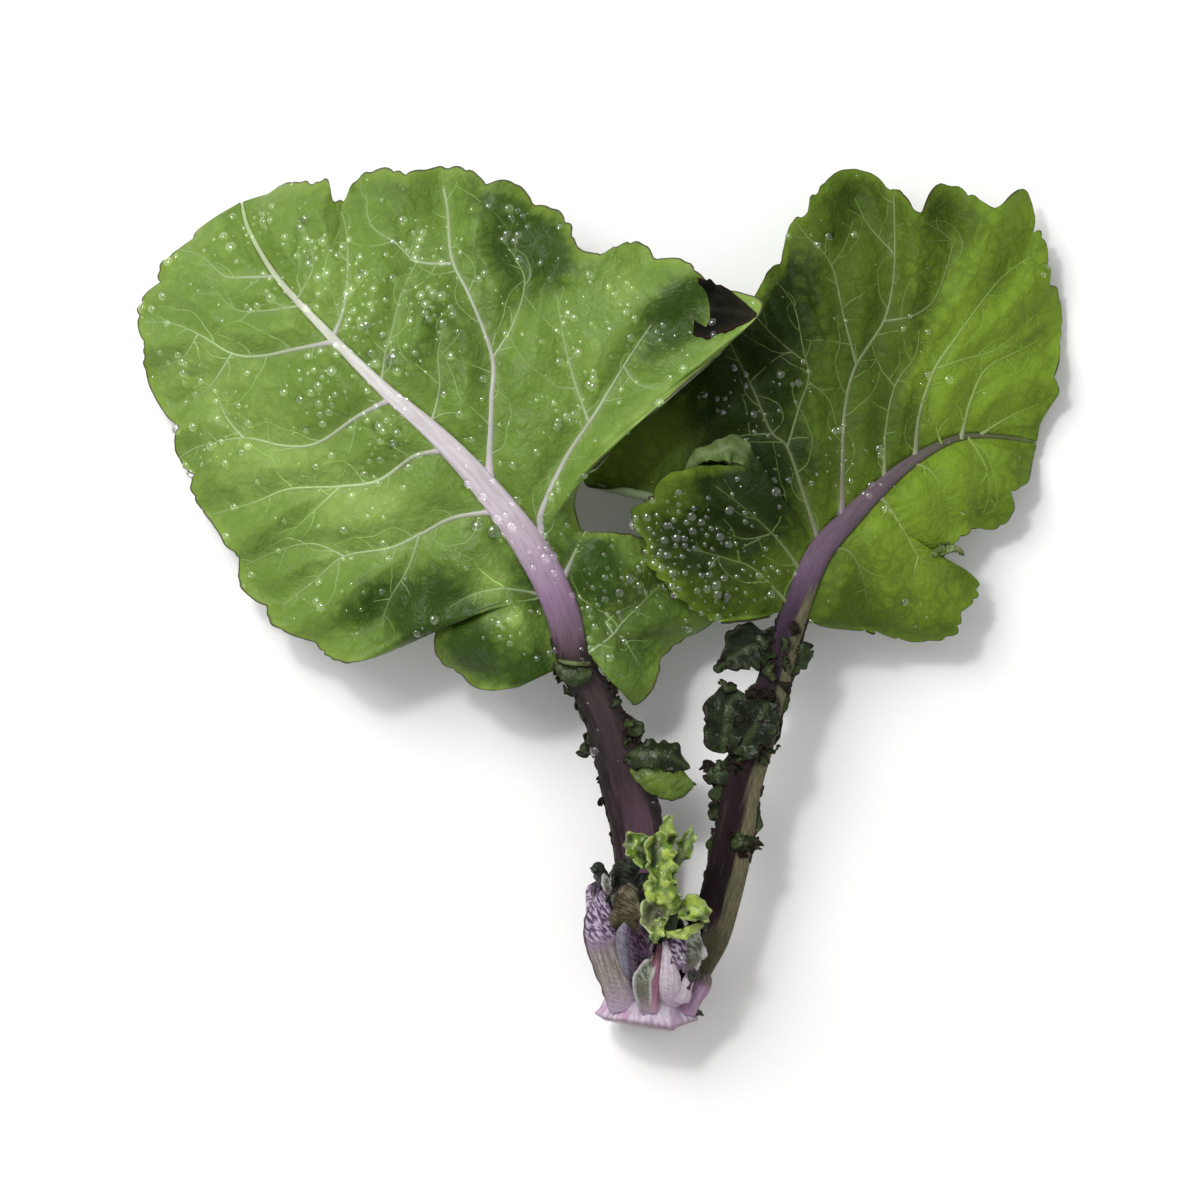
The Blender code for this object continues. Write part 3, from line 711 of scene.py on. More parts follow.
FRILL = BladeFinish(
    name="frilled leaf",
    deep=(0.008, 0.022, 0.002), mid=(0.095, 0.18, 0.008), light=(0.38, 0.5, 0.075),
    margin=(0.3, 0.43, 0.07), vein=(0.45, 0.52, 0.22), rim=(0.3, 0.38, 0.12), wax=(0.46, 0.54, 0.3),
    margin_share=0.22, glow=0.12, roughness=(0.22, 0.42), cells=700.0, gloss=0.45,
)
BROWN_CURL = BladeFinish(
    name="brown frilled tissue",
    deep=(0.02, 0.018, 0.008), mid=(0.07, 0.07, 0.025), light=(0.16, 0.2, 0.05),
    margin=(0.4, 0.48, 0.2), vein=(0.3, 0.33, 0.18), rim=(0.42, 0.5, 0.24), wax=(0.2, 0.2, 0.12),
    margin_share=0.6, glow=0.1, roughness=(0.25, 0.45), cells=700.0, gloss=0.4,
)
LEFT_RIB = RibFinish(
    name="left petiole and midrib",
    stops=(
        (0.0, (0.34, 0.24, 0.33)), (0.1, (0.19, 0.1, 0.145)), (0.24, (0.041, 0.025, 0.03)),
        (0.37, (0.055, 0.034, 0.032)), (0.44, (0.27, 0.165, 0.26)), (0.54, (0.58, 0.5, 0.56)),
        (0.72, (0.62, 0.59, 0.58)), (1.0, (0.36, 0.46, 0.2)),
    ),
    flank=(0.012, 0.008, 0.006), flank_share=0.85, flank_from=(0.45, 0.95),
)
RIGHT_RIB = RibFinish(
    name="right petiole and midrib",
    stops=(
        (0.0, (0.4, 0.26, 0.38)), (0.07, (0.08, 0.04, 0.06)), (0.12, (0.012, 0.006, 0.008)),
        (0.4, (0.022, 0.012, 0.016)), (0.53, (0.05, 0.03, 0.05)), (0.6, (0.13, 0.085, 0.13)),
        (0.78, (0.12, 0.095, 0.1)), (1.0, (0.12, 0.16, 0.05)),
    ),
    flank=(0.15, 0.138, 0.078), flank_share=0.95, flank_from=(0.2, 0.6), flank_spread=0.75,
    roughness=(0.45, 0.65), gloss=0.1,
)
FRILL_RIB = RibFinish(
    name="frilled leaf stem",
    stops=((0.0, (0.1, 0.12, 0.05)), (0.4, (0.02, 0.03, 0.009)), (1.0, (0.05, 0.085, 0.02))),
    flank=(0.02, 0.03, 0.01), flank_share=0.4,
)
LEFT_VEIN = RibFinish(
    name="left leaf veins",
    stops=((0.0, (0.2, 0.31, 0.08)), (0.3, (0.3, 0.37, 0.2)), (0.6, (0.4, 0.4, 0.36)),
           (1.0, (0.54, 0.47, 0.53))),
    flank=(0.2, 0.3, 0.1), streak_share=0.1,
)
RIGHT_VEIN = RibFinish(
    name="right leaf veins",
    stops=((0.0, (0.1, 0.165, 0.025)), (0.3, (0.14, 0.19, 0.065)), (0.65, (0.15, 0.155, 0.1)),
           (1.0, (0.16, 0.12, 0.14))),
    flank=(0.1, 0.15, 0.04), streak_share=0.1,
)
YOUNG_LEAVES = [
    HeartFinish(
        "cupped young leaf", root=(0.42, 0.32, 0.44), petiole=(0.19, 0.155, 0.13), stripe=(0.42, 0.38, 0.37),
        flesh=(0.24, 0.15, 0.25), crest=(0.6, 0.52, 0.64), crevice=(0.07, 0.03, 0.09),
        rim=(0.03, 0.012, 0.02), blade_from=0.52,
    ),
    HeartFinish(
        "bud", root=(0.13, 0.1, 0.16), petiole=(0.18, 0.15, 0.21), stripe=(0.29, 0.28, 0.35),
        flesh=(0.2, 0.18, 0.24), crest=(0.27, 0.25, 0.32), crevice=(0.1, 0.07, 0.12), rim=(0.27, 0.28, 0.25),
        crinkle_share=0.45, rim_share=0.6, roughness=(0.25, 0.4),
    ),
    HeartFinish(
        "olive young leaf", root=(0.1, 0.07, 0.06), petiole=(0.12, 0.09, 0.05), stripe=(0.2, 0.17, 0.09),
        flesh=(0.14, 0.12, 0.06), crest=(0.24, 0.21, 0.13), crevice=(0.07, 0.055, 0.03),
        rim=(0.05, 0.04, 0.03), crinkle_share=0.7, blade_from=0.3,
    ),
    HeartFinish(
        "crinkled young leaf", root=(0.2, 0.12, 0.2), petiole=(0.12, 0.05, 0.11), stripe=(0.3, 0.22, 0.32),
        flesh=(0.16, 0.08, 0.17), crest=(0.55, 0.47, 0.58), crevice=(0.03, 0.012, 0.035),
        rim=(0.05, 0.02, 0.05), blade_from=0.1, rim_share=0.4,
    ),
    HeartFinish(
        "grey-green young leaf", root=(0.42, 0.3, 0.4), petiole=(0.12, 0.12, 0.08), stripe=(0.2, 0.19, 0.15),
        flesh=(0.15, 0.17, 0.11), crest=(0.3, 0.33, 0.27), crevice=(0.07, 0.08, 0.05), rim=(0.5, 0.46, 0.47),
        roughness=(0.12, 0.35), gloss=0.5,
    ),
    HeartFinish(
        "red petiole", root=(0.5, 0.28, 0.4), petiole=(0.26, 0.09, 0.13), stripe=(0.42, 0.2, 0.3),
        flesh=(0.14, 0.06, 0.06), crest=(0.2, 0.09, 0.1), crevice=(0.06, 0.02, 0.03), rim=(0.12, 0.04, 0.06),
        blade_from=0.7,
    ),
    HeartFinish(
        "pale petiole", root=(0.56, 0.42, 0.54), petiole=(0.68, 0.62, 0.68), stripe=(0.5, 0.34, 0.45),
        flesh=(0.6, 0.55, 0.6), crest=(0.66, 0.62, 0.68), crevice=(0.24, 0.13, 0.24), rim=(0.5, 0.35, 0.45),
        blade_from=0.75, rim_share=0.3,
    ),
    # near-black: a dark young leaf, the heart's middle, and the sheets of painted shade in the heart's hollow
    # and gap
    HeartFinish(
        "dark young leaf and shade", root=(0.05, 0.02, 0.04), petiole=(0.012, 0.008, 0.01), stripe=(0.03, 0.02, 0.025),
        flesh=(0.008, 0.012, 0.005), crest=(0.03, 0.04, 0.02), crevice=(0.004, 0.004, 0.003),
        rim=(0.06, 0.07, 0.05), rim_share=0.3, roughness=(0.25, 0.5),
    ),
    HeartFinish(
        "dark crinkled young leaf", root=(0.12, 0.06, 0.12), petiole=(0.03, 0.015, 0.03),
        stripe=(0.16, 0.09, 0.16), flesh=(0.015, 0.008, 0.015), crest=(0.11, 0.055, 0.105),
        crevice=(0.01, 0.005, 0.01), rim=(0.14, 0.08, 0.14), blade_from=0.1, rim_share=0.4,
    ),
    HeartFinish(
        "lilac petiole root", root=(0.42, 0.24, 0.4), petiole=(0.3, 0.16, 0.28), stripe=(0.46, 0.32, 0.44),
        flesh=(0.16, 0.12, 0.11), crest=(0.2, 0.17, 0.14), crevice=(0.12, 0.08, 0.08), rim=(0.3, 0.18, 0.28),
        blade_from=0.75, rim_share=0.3,
    ),
]
CUT = CutFinish(
    name="cut stump",
    skin=(0.42, 0.33, 0.44), blush=(0.36, 0.13, 0.3), rim=(0.14, 0.07, 0.075), flesh=(0.36, 0.25, 0.24),
    pith=(0.5, 0.42, 0.5), pale=(0.66, 0.62, 0.68),
)


@dataclass
class Grid:
    """Rows of points across a sheet, left to right, with the marks that its finish reads."""

    points: np.ndarray
    # each mark's values and the thickness fit the points' rows and columns, or repeat along them
    marks: dict[str, np.ndarray]
    thickness: np.ndarray
    finish: int = 0

    def mirrored(self) -> "Grid":
        """The grid with its columns in the other order."""
        marks = {mark: values[:, ::-1] for mark, values in self.marks.items()}
        return Grid(self.points[:, ::-1], marks, self.thickness[:, ::-1], self.finish)


def mesh_object(name: str, points: np.ndarray, faces: list, marks: dict[str, np.ndarray],
                edges: list = ()) -> bpy.types.Object:
    """A mesh in the scene, smooth, with float marks on its points.

    Args:
        name: the object's name.
        points: millimetres, as one row or as rows and columns.
        faces: point numbers of each face.
        marks: values by name, which fit the points or repeat along them.
        edges: point numbers of each edge that belongs to no face.

    Returns:
        The object.
    """
    mesh = bpy.data.meshes.new(name)
    mesh.from_pydata((points.reshape(-1, 3) * MM).tolist(), edges, faces)
    for mark, values in marks.items():
        made = mesh.attributes.new(mark, "FLOAT", "POINT")
        spread = np.broadcast_to(values, points.shape[:-1])
        made.data.foreach_set("value", spread.astype(np.float32).ravel())
    mesh.polygons.foreach_set("use_smooth", [True] * len(mesh.polygons))
    obj = bpy.data.objects.new(name, mesh)
    bpy.context.scene.collection.objects.link(obj)
    return obj


def grid_faces(rows: int, columns: int, start: int = 0, closed: bool = False) -> list[tuple[int, ...]]:
    """The quads of a grid whose columns run left to right and whose rows run ahead, facing up.

    Args:
        rows: rows of points.
        columns: points in a row.
        start: the first point's number.
        closed: joins each row's last point to its first.

    Returns:
        The quads' point numbers.
    """
    across = columns if closed else columns - 1
    faces = []
    for i in range(rows - 1):
        for j in range(across):
            k = (j + 1) % columns
            a, b = start + i * columns, start + (i + 1) * columns
            faces.append((a + j, a + k, b + k, b + j))
    return faces


def stitched(layers: list[np.ndarray]) -> tuple[np.ndarray, list[tuple[int, ...]]]:
    """Several grids as one.

    Args:
        layers: each grid's points, in rows and columns.

    Returns:
        The points one after another, and the quads of every grid.
    """
    faces = []
    start = 0
    for layer in layers:
        rows, columns = layer.shape[:2]
        faces += grid_faces(rows, columns, start)
        start += rows * columns
    return np.concatenate([layer.reshape(-1, 3) for layer in layers]), faces


def ray_surface(layers: list[np.ndarray]) -> BVHTree:
    """Several grids as one surface that rays can be sent at."""
    points, faces = stitched(layers)
    return BVHTree.FromPolygons(points.tolist(), faces)


def tube_faces(rings: int, sides: int) -> list[tuple[int, ...]]:
    """The quads of a tube made of rings, and its two ends."""
    ends = [tuple(reversed(range(sides))), tuple(range((rings - 1) * sides, rings * sides))]
    return grid_faces(rings, sides, closed=True) + ends


def baked(obj: bpy.types.Object) -> bpy.types.Object:
    """Makes an object's modifiers part of its mesh.

    Args:
        obj: the object.

    Returns:
        The same object.
    """
    graph = bpy.context.evaluated_depsgraph_get()
    mesh = bpy.data.meshes.new_from_object(obj.evaluated_get(graph), depsgraph=graph)
    obj.modifiers.clear()
    obj.vertex_groups.clear()
    obj.data = mesh
    return obj


def sheets(name: str, grids: list[Grid], finishes: list[bpy.types.Material]) -> bpy.types.Object:
    """Several sheets with their thickness, as one mesh.

    Args:
        name: the object's name.
        grids: the sheets' upper faces.
        finishes: an upper and an under material for each finish number, in turn.

    Returns:
        The object.
    """
    def joined(values: Callable) -> np.ndarray:
        """What the function gives for each grid, as one value for each point."""
        spread = [np.broadcast_to(values(grid), grid.points.shape[:2]) for grid in grids]
        return np.concatenate([one.ravel() for one in spread])

    points, faces = stitched([grid.points for grid in grids])
    slots = []
    for grid in grids:
        rows, columns = grid.points.shape[:2]
        slots += [2 * grid.finish] * ((rows - 1) * (columns - 1))
    names = sorted({mark for grid in grids for mark in grid.marks})
    marks = {mark: joined(lambda grid: grid.marks.get(mark, 0.0)) for mark in names}
    obj = mesh_object(name, points, faces, marks)
    for finish in finishes:
        obj.data.materials.append(finish)
    obj.data.polygons.foreach_set("material_index", slots)
    thickness = joined(lambda grid: grid.thickness)
    most = float(thickness.max())
    group = obj.vertex_groups.new(name="thickness")
    for level in np.unique(np.round(thickness / most, 2)):
        chosen = np.nonzero(np.round(thickness / most, 2) == level)[0].tolist()
        group.add(chosen, float(level), "REPLACE")
    solidify = obj.modifiers.new("thickness", "SOLIDIFY")
    solidify.thickness = most * MM
    solidify.offset = -1.0
    solidify.vertex_group = group.name
    solidify.use_quality_normals = True
    solidify.material_offset = 1
    return baked(obj)


@dataclass
class Flap:
    """One unbroken part of a blade: the side it grows on, and its margin."""

    side: Side
    # share of the midrib, x, y, z along the margin
    margin: list[Point]


@dataclass
class LeafPlan:
    """A large leaf's form: the top of its rib, and the flaps of its blade."""

    # x, y, z and half width along the petiole and the midrib
    rib: list[Point]
    # the rib point where the blade begins
    base: int
    flaps: list[Flap]
    arch: float = 1.5
    scallop_pitch: float = 8.0
    scallop_depth: float = 0.7
    ruffle_pitch: float = 12.0
    ruffle_height: float = 1.1
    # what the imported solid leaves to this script
    tooth_pitch: float = 1.9
    tooth_depth: float = 0.3
    # how high the margin's short folds stand up
    crimp_pitch: float = 3.1
    crimp: float = 0.15
    # how far the tissue swells between the main veins, between the twigs, and by chance
    pillow: float = 1.25
    small_pillow: float = 0.22
    ripple: float = 0.6
    # how much slimmer than its solid the midrib is at its tip
    slim: float = 0.55
    row_step: float = 0.45
    seed: float = 3.7


@dataclass
class LeafSurface:
    """Places points on a large leaf's upper face."""

    plan: LeafPlan
    places: np.ndarray = field(init=False)
    rib_lengths: np.ndarray = field(init=False)

    def __post_init__(self) -> None:
        """Measures the rib."""
        self.places = np.linspace(self.plan.base, len(self.plan.rib) - 1, MARGIN_STEPS + 1)
        self.rib_lengths = travelled(self.rib(self.places)[0])

    def rib(self, places: np.ndarray) -> tuple[np.ndarray, np.ndarray]:
        """The top of the rib.

        Args:
            places: numbers of the rib's points, or between them.

        Returns:
            The middle of the rib's upper face at each place, and its half width.
        """
        found = spline(self.plan.rib, places)
        last = len(self.plan.rib) - 1
        beyond = ease((places - self.plan.base - 1.0) / (last - self.plan.base - 1.0))
        return found[..., :3] + PLACE, found[..., 3] * (1.0 - self.plan.slim * beyond)

    def across(self, places: np.ndarray) -> np.ndarray:
        """The level direction to the left of the rib."""
        ahead = self.rib(places + TANGENT_STEP)[0] - self.rib(places - TANGENT_STEP)[0]
        return unit(np.cross(UP, ahead))

    @staticmethod
    def margin(flap: Flap, shares: np.ndarray) -> np.ndarray:
        """The smooth margin, without scallops or ruffles."""
        places = np.interp(shares, [knot[0] for knot in flap.margin], range(len(flap.margin)))
        return spline([knot[1:] for knot in flap.margin], places) + PLACE

    def margin_forms(self, gone: np.ndarray, side: Side) -> tuple[np.ndarray, ...]:
        """The forms along a margin.

        Args:
            gone: distances along it.
            side: the side that its flap grows on.

        Returns:
            How far the scallops and the teeth stand out, and how high the ruffles and the short folds stand.
        """
        plan = self.plan
        turn = math.pi * gone / plan.scallop_pitch + SCALLOP_DRIFT * np.sin(SCALLOP_DRIFT_RATE * gone)
        scallop = plan.scallop_depth * (2.0 * np.abs(np.sin(turn)) ** SCALLOP_ROUNDNESS - 1.0)
        drift = side.value + RUFFLE_DRIFT * np.sin(RUFFLE_DRIFT_RATE * gone)
        ruffle = plan.ruffle_height * np.sin(2.0 * math.pi * gone / plan.ruffle_pitch + drift)
        line = noise_line(gone, side.value)
        uneven = np.clip(0.35 + 1.5 * waver(line, 3.4, plan.seed), 0.0, 1.2)
        turn = math.pi * gone / plan.tooth_pitch + 2.4 * waver(line, 3.0, plan.seed + 5.0)
        teeth = plan.tooth_depth * uneven * (2.0 * np.abs(np.sin(turn)) ** 0.7 - 1.3)
        teeth = teeth + 0.5 * plan.tooth_depth * waver(line, 1.1, plan.seed + 3.0)
        turn = math.pi * gone / plan.crimp_pitch + 2.8 * waver(line, 4.0, plan.seed + 7.0)
        return scallop, teeth, ruffle, plan.crimp * uneven * np.sin(turn) ** 2

    def flap(self, flap: Flap, columns: int) -> tuple[np.ndarray, np.ndarray, np.ndarray]:
        """One flap of the blade.

        Args:
            flap: which one.
            columns: steps from the rib to the margin.

        Returns:
            Points by row and column, and each point's distance from the rib's edge and from the margin.
        """
        plan = self.plan
        side = flap.side
        steps = np.linspace(flap.margin[0][0], flap.margin[-1][0], MARGIN_STEPS + 1)
        lengths = travelled(self.margin(flap, steps))
        totals = lengths + RIB_SHARE * steps * self.rib_lengths[-1]
        rows = int((totals[-1] - totals[0]) / plan.row_step)
        shares = np.interp(np.linspace(totals[0], totals[-1], rows + 1), totals, steps)
        places = np.interp(shares * self.rib_lengths[-1], self.rib_lengths, self.places)
        middle, width = self.rib(places)
        start = middle + self.across(places) * (side.value * width)[:, None]
        sunk = self.across(places) * (-ROOT_SHARE * side.value * width)[:, None] - UP * ROOT_DEPTH
        end = self.margin(flap, shares)
        gone = np.interp(shares, steps, lengths)
        span = np.linalg.norm(end - start, axis=1)
        outward = unit(end - start)
        scallop, teeth, ruffle, crimp = (form[:, None] for form in self.margin_forms(gone, side))
        share = 1.0 - (1.0 - np.linspace(0.0, 1.0, columns + 1)[None, :]) ** COLUMN_CROWDING
        t = share[..., None]
        arch = plan.arch * np.sin(math.pi * share) * np.minimum(1.0, span / FULL_ARCH_SPAN)[:, None]
        out = scallop * share**2 + teeth * share**10
        up = arch + ruffle * share**RUFFLE_ONSET + crimp * share**9
        points = start[:, None] + (end - start)[:, None] * t + outward[:, None] * out[..., None]
        points = points + UP * up[..., None]
        points[:, 0] += sunk
        return points, span[:, None] * share, span[:, None] * (1.0 - share)


LEFT_PLAN = LeafPlan(
    rib=[
        (4.6, -43, 4.4, 2.6), (4.6, -36, 4.4, 2.7), (4.5, -30, 5.4, 2.8), (4, -25, 7.2, 2.9),
        (2.6, -19.2, 9.2, 2.8), (0.9, -14, 10.8, 2.2), (-0.9, -9.8, 12, 1.9),
        (-2.9, -6.5, 12.8, 1.8), (-4.3, -0.8, 13.6, 1.9), (-7.3, 5.5, 14.6, 1.9),
        (-12.5, 12.5, 16, 1.6), (-17.8, 18.2, 16.6, 1.3), (-23.9, 23.5, 16.2, 1),
        (-29.6, 29.2, 14.2, 0.8), (-35.4, 35.5, 10.5, 0.6), (-38.8, 41, 6.6, 0.5),
        (-39.8, 44.4, 4.2, 0.5),
    ],
    base=7,
    flaps=[
        Flap(Side.LEFT, [
            (0, -9.5, -9.5, 10), (0.03, -14.5, -8.8, 9), (0.06, -17.8, -5.5, 9.5),
            (0.1, -16.8, -0.5, 11), (0.14, -21, -4.5, 11), (0.19, -28, -6.2, 10),
            (0.24, -34, -3.2, 8), (0.3, -38.5, 1, 6.5), (0.37, -42, 8, 5),
            (0.44, -45.5, 13.5, 4), (0.52, -47.5, 20, 2.8), (0.62, -50.5, 26, 1.85),
            (0.74, -51, 32, 1.75), (0.87, -48.5, 37, 2.2), (1, -44.5, 41.5, 3),
        ]),
        Flap(Side.RIGHT, [
            (0, 3.9, -11.7, 8), (0.03, 6.5, -7, 7.5), (0.06, 8.5, -4.3, 7),
            (0.09, 11.8, -1.5, 6.8), (0.12, 9.5, 4.5, 8), (0.15, 3.5, 7, 11), (0.18, -1.8, 8.3, 14),
            (0.205, -3, 11.5, 15.5), (0.225, 1, 16.5, 18.5), (0.25, 8, 23, 20.5),
            (0.28, 16.9, 31.5, 18.5), (0.31, 11.5, 35, 16.5), (0.35, 4, 38.7, 15),
            (0.39, -2.3, 38.2, 13.5), (0.43, -4.5, 42, 12), (0.5, -9.5, 45.3, 11),
            (0.58, -18, 47.5, 9.5), (0.66, -25.5, 47, 8), (0.73, -29.3, 43.8, 8.5),
            (0.8, -30.5, 46.5, 7), (0.9, -34.5, 46, 5.5), (1, -37, 45.2, 4.5),
        ]),
    ],
)
RIGHT_PLAN = LeafPlan(
    rib=[
        (8.9, -42.6, 8.2, 1.9), (10.6, -39.5, 8.3, 2.1), (12.4, -35.5, 8.6, 2.2),
        (14.2, -28.2, 9.4, 2.2), (15.5, -20.8, 10.2, 2.1), (17.2, -15, 10.8, 1.9),
        (19, -8.8, 11.2, 1.7), (21.2, -1.4, 11.6, 1.5), (23.8, 5.2, 12, 1.4),
        (27.4, 9.4, 11.6, 1.2), (31.2, 13.1, 10.8, 1), (34.9, 16, 9.4, 0.8), (39.5, 18.2, 6.8, 0.6),
        (44, 18.4, 4.2, 0.5), (48.4, 17.8, 2.2, 0.5),
    ],
    base=7,
    flaps=[
        Flap(Side.LEFT, [
            (0, 17.6, -1.6, 11), (0.03, 14.5, -1.8, 11), (0.06, 11.3, -1.9, 11),
            (0.09, 8.5, 1.2, 11.5), (0.12, 5.3, 5, 12.5), (0.145, 4.2, 10, 13),
            (0.17, 8, 13.7, 14), (0.19, 14, 15.5, 14), (0.205, 16, 17.6, 13),
        ]),
        Flap(Side.LEFT, [
            (0.2, 3, 12.4, 9.6), (0.25, -2, 13.6, 9),
            (0.27, -1.2, 19.5, 9), (0.295, 4.5, 26.5, 9), (0.325, 11.5, 31, 10),
            (0.36, 17, 33.5, 11), (0.4, 19.5, 37.3, 10.5), (0.44, 22, 42.7, 9.5),
            (0.48, 26.5, 46.8, 8.5), (0.52, 31.6, 46.2, 8.5), (0.555, 34.6, 42.8, 9),
            (0.59, 37.5, 45.5, 7.5), (0.64, 43.5, 44, 6), (0.69, 46.8, 45, 4.5),
            (0.74, 49, 39, 3), (0.79, 50.8, 33, 2), (0.84, 50.6, 28.5, 1.65),
            (0.92, 50.4, 23.5, 1.9), (1, 48.8, 19.8, 2.4),
        ]),
        Flap(Side.RIGHT, [
            (0, 24.5, -2.8, 8.5), (0.06, 28.2, -2.8, 7.5), (0.14, 33.3, -4, 6),
            (0.22, 38.5, -3.2, 5), (0.3, 41, 1, 4.5), (0.36, 40.7, 3.5, 5),
            (0.42, 36.5, 4.8, 6.5), (0.48, 40.5, 7.7, 5.5), (0.58, 43.6, 8.6, 4.5),
            (0.7, 46.4, 12.9, 3), (0.84, 47.4, 15.5, 2.4), (1, 48.2, 16.6, 2.2),
        ]),
    ],
    arch=1.2,
    tooth_pitch=2.3,
    tooth_depth=0.5,
    crimp=0.45,
    pillow=0.95,
    ripple=0.45,
    seed=11.3,
)
FRILL_PLAN = LeafPlan(
    rib=[
        (6.4, -41, 10.6, 0.8), (6.6, -38.6, 12.6, 0.8), (7.4, -36.2, 14.6, 0.7), (8, -33, 16, 0.6),
        (7.6, -30, 16.8, 0.5), (7, -27.5, 17, 0.4),
    ],
    base=2,
    flaps=[],
    slim=0,
    seed=21.9,
)

# half width where the vein begins and where it ends, then its points in the picture
LEFT_VEINS = [
    (0.62, 0.2, [(562, 718), (562.5, 710), (573, 687), (585.5, 668), (598, 647), (610, 629)]),
    (0.3, 0.12, [(583, 672), (577, 655), (572, 636), (569, 617)]),
    (0.24, 0.1, [(598, 647), (604, 655), (616, 658)]),
    (0.62, 0.26, [(541, 697), (539.4, 687), (540.3, 662), (540.6, 643), (531, 617), (523, 600),
                  (520.9, 579), (519, 568)]),
    (0.28, 0.1, [(541, 643), (549.6, 629), (554.7, 611), (551, 600), (544, 590)]),
    (0.32, 0.12, [(522.5, 602), (507.5, 600.8), (498.6, 593), (487, 584), (485, 570)]),
    (0.2, 0.14, [(494, 641.6), (497, 631), (501, 615), (507.5, 601)]),
    (0.24, 0.1, [(514, 669.7), (517.7, 657), (517, 641), (520, 630)]),
    (0.36, 0.12, [(471.5, 632), (476.2, 618.7), (477, 592), (474, 578)]),
    (0.22, 0.1, [(455, 617), (462, 603), (459, 588)]),
    (0.46, 0.14, [(537, 710.6), (523, 713), (510, 719.5), (496, 726), (475.6, 729.7), (461.6, 741),
                  (448, 751)]),
    (0.26, 0.1, [(508.8, 720), (503.7, 734.8), (496, 747.6), (492, 758)]),
    (0.24, 0.1, [(475.6, 729.7), (461.6, 724), (446, 727), (432, 733)]),
    (0.42, 0.14, [(516.4, 683.8), (506, 686.3), (491, 696.5), (474, 699), (451, 700), (436, 705.5),
                  (416, 711)]),
    (0.22, 0.1, [(474, 699), (463, 709), (452, 719)]),
    (0.42, 0.14, [(493.5, 662), (482, 668.5), (464, 680), (449, 681), (431, 677.4), (410.5, 681),
                  (401, 686)]),
    (0.24, 0.1, [(431, 677.4), (423, 668.5), (418, 657), (409, 650)]),
    (0.42, 0.14, [(469, 636), (454, 639), (438.6, 641.7), (426, 640.4), (410.5, 631.5), (397.8, 626.4),
                  (386, 625.7)]),
    (0.26, 0.1, [(424.6, 641), (415.6, 654.5), (404, 663)]),
    (0.22, 0.1, [(410.5, 631.5), (404, 641), (393, 646)]),
    (0.34, 0.12, [(440, 607), (431, 607), (422, 606), (411.8, 597), (402, 594)]),
    (0.24, 0.1, [(456, 620), (440, 622), (427, 621), (418, 612)]),
    (0.3, 0.12, [(555, 745), (543, 744), (531, 747), (522, 752)]),
    (0.26, 0.12, [(592, 765), (597, 759), (605, 751), (615.5, 741.4), (625, 738)]),
    (0.5, 0.14, [(571, 742), (574, 734), (579, 723), (586, 712)]),
    (0.22, 0.1, [(590, 758), (598, 766), (604, 776)]),
]
RIGHT_VEINS = [
    (0.46, 0.16, [(685, 728), (677.8, 705.5), (670, 682.5), (662.5, 674.8), (654.9, 657), (646, 639),
                  (640, 624)]),
    (0.28, 0.12, [(671.5, 681), (675, 664), (679, 651), (676.6, 639), (672.7, 620), (664, 608)]),
    (0.2, 0.1, [(678, 645), (669, 637.8), (658.7, 627.6), (652, 618)]),
    (0.24, 0.1, [(663.8, 676), (649.8, 676.8), (640, 681)]),
    (0.18, 0.1, [(681, 652), (688, 661), (691, 672)]),
    (0.52, 0.2, [(693, 712), (693.8, 687.6), (695, 665.9), (699.5, 646.8), (712.3, 626.4), (716.8, 607),
                 (717.4, 584), (717, 570)]),
    (0.32, 0.12, [(700, 645.5), (694.4, 623.8), (689.3, 602), (677.8, 588), (672, 580)]),
    (0.18, 0.1, [(689.3, 602), (695.7, 592), (699, 582)]),
    (0.3, 0.12, [(712.3, 626.4), (725, 623.8), (735, 616), (742, 597), (741.6, 589), (729, 582)]),
    (0.2, 0.1, [(716.5, 596), (706, 584), (700, 572)]),
    (0.34, 0.12, [(712.3, 696), (713, 674.8), (717.4, 654.4), (726, 641.7), (728, 630)]),
    (0.18, 0.1, [(717, 655), (711, 647), (707, 637)]),
    (0.42, 0.14, [(726, 686), (727.6, 668.5), (734, 649), (743, 635), (763, 608.5), (778, 597)]),
    (0.24, 0.1, [(736, 647), (746.7, 643), (763, 637.8), (780, 623)]),
    (0.34, 0.12, [(746.7, 678), (750.6, 662), (758, 646.8), (772, 639), (783, 633)]),
    (0.2, 0.1, [(738, 680), (732.7, 663), (735, 652)]),
    (0.3, 0.1, [(757, 679), (768, 668), (782, 662)]),
    (0.34, 0.12, [(712, 705), (722.5, 720.8), (728.9, 731), (737, 734), (744, 741)]),
    (0.2, 0.1, [(727.6, 729.7), (725.7, 738.6), (726, 750)]),
    (0.26, 0.1, [(696, 727), (702, 736), (704.6, 748)]),
    (0.24, 0.1, [(752, 679), (757, 688), (759.5, 700), (757, 711)]),
    (0.22, 0.1, [(733, 692), (740, 704), (743, 716)]),
    (0.34, 0.12, [(682.5, 738.6), (666, 723), (651, 709), (638, 699)]),
    (0.28, 0.12, [(670, 749), (656, 736), (644, 731), (630, 727)]),
    (0.2, 0.1, [(662, 720), (650, 722), (638, 716)]),
]
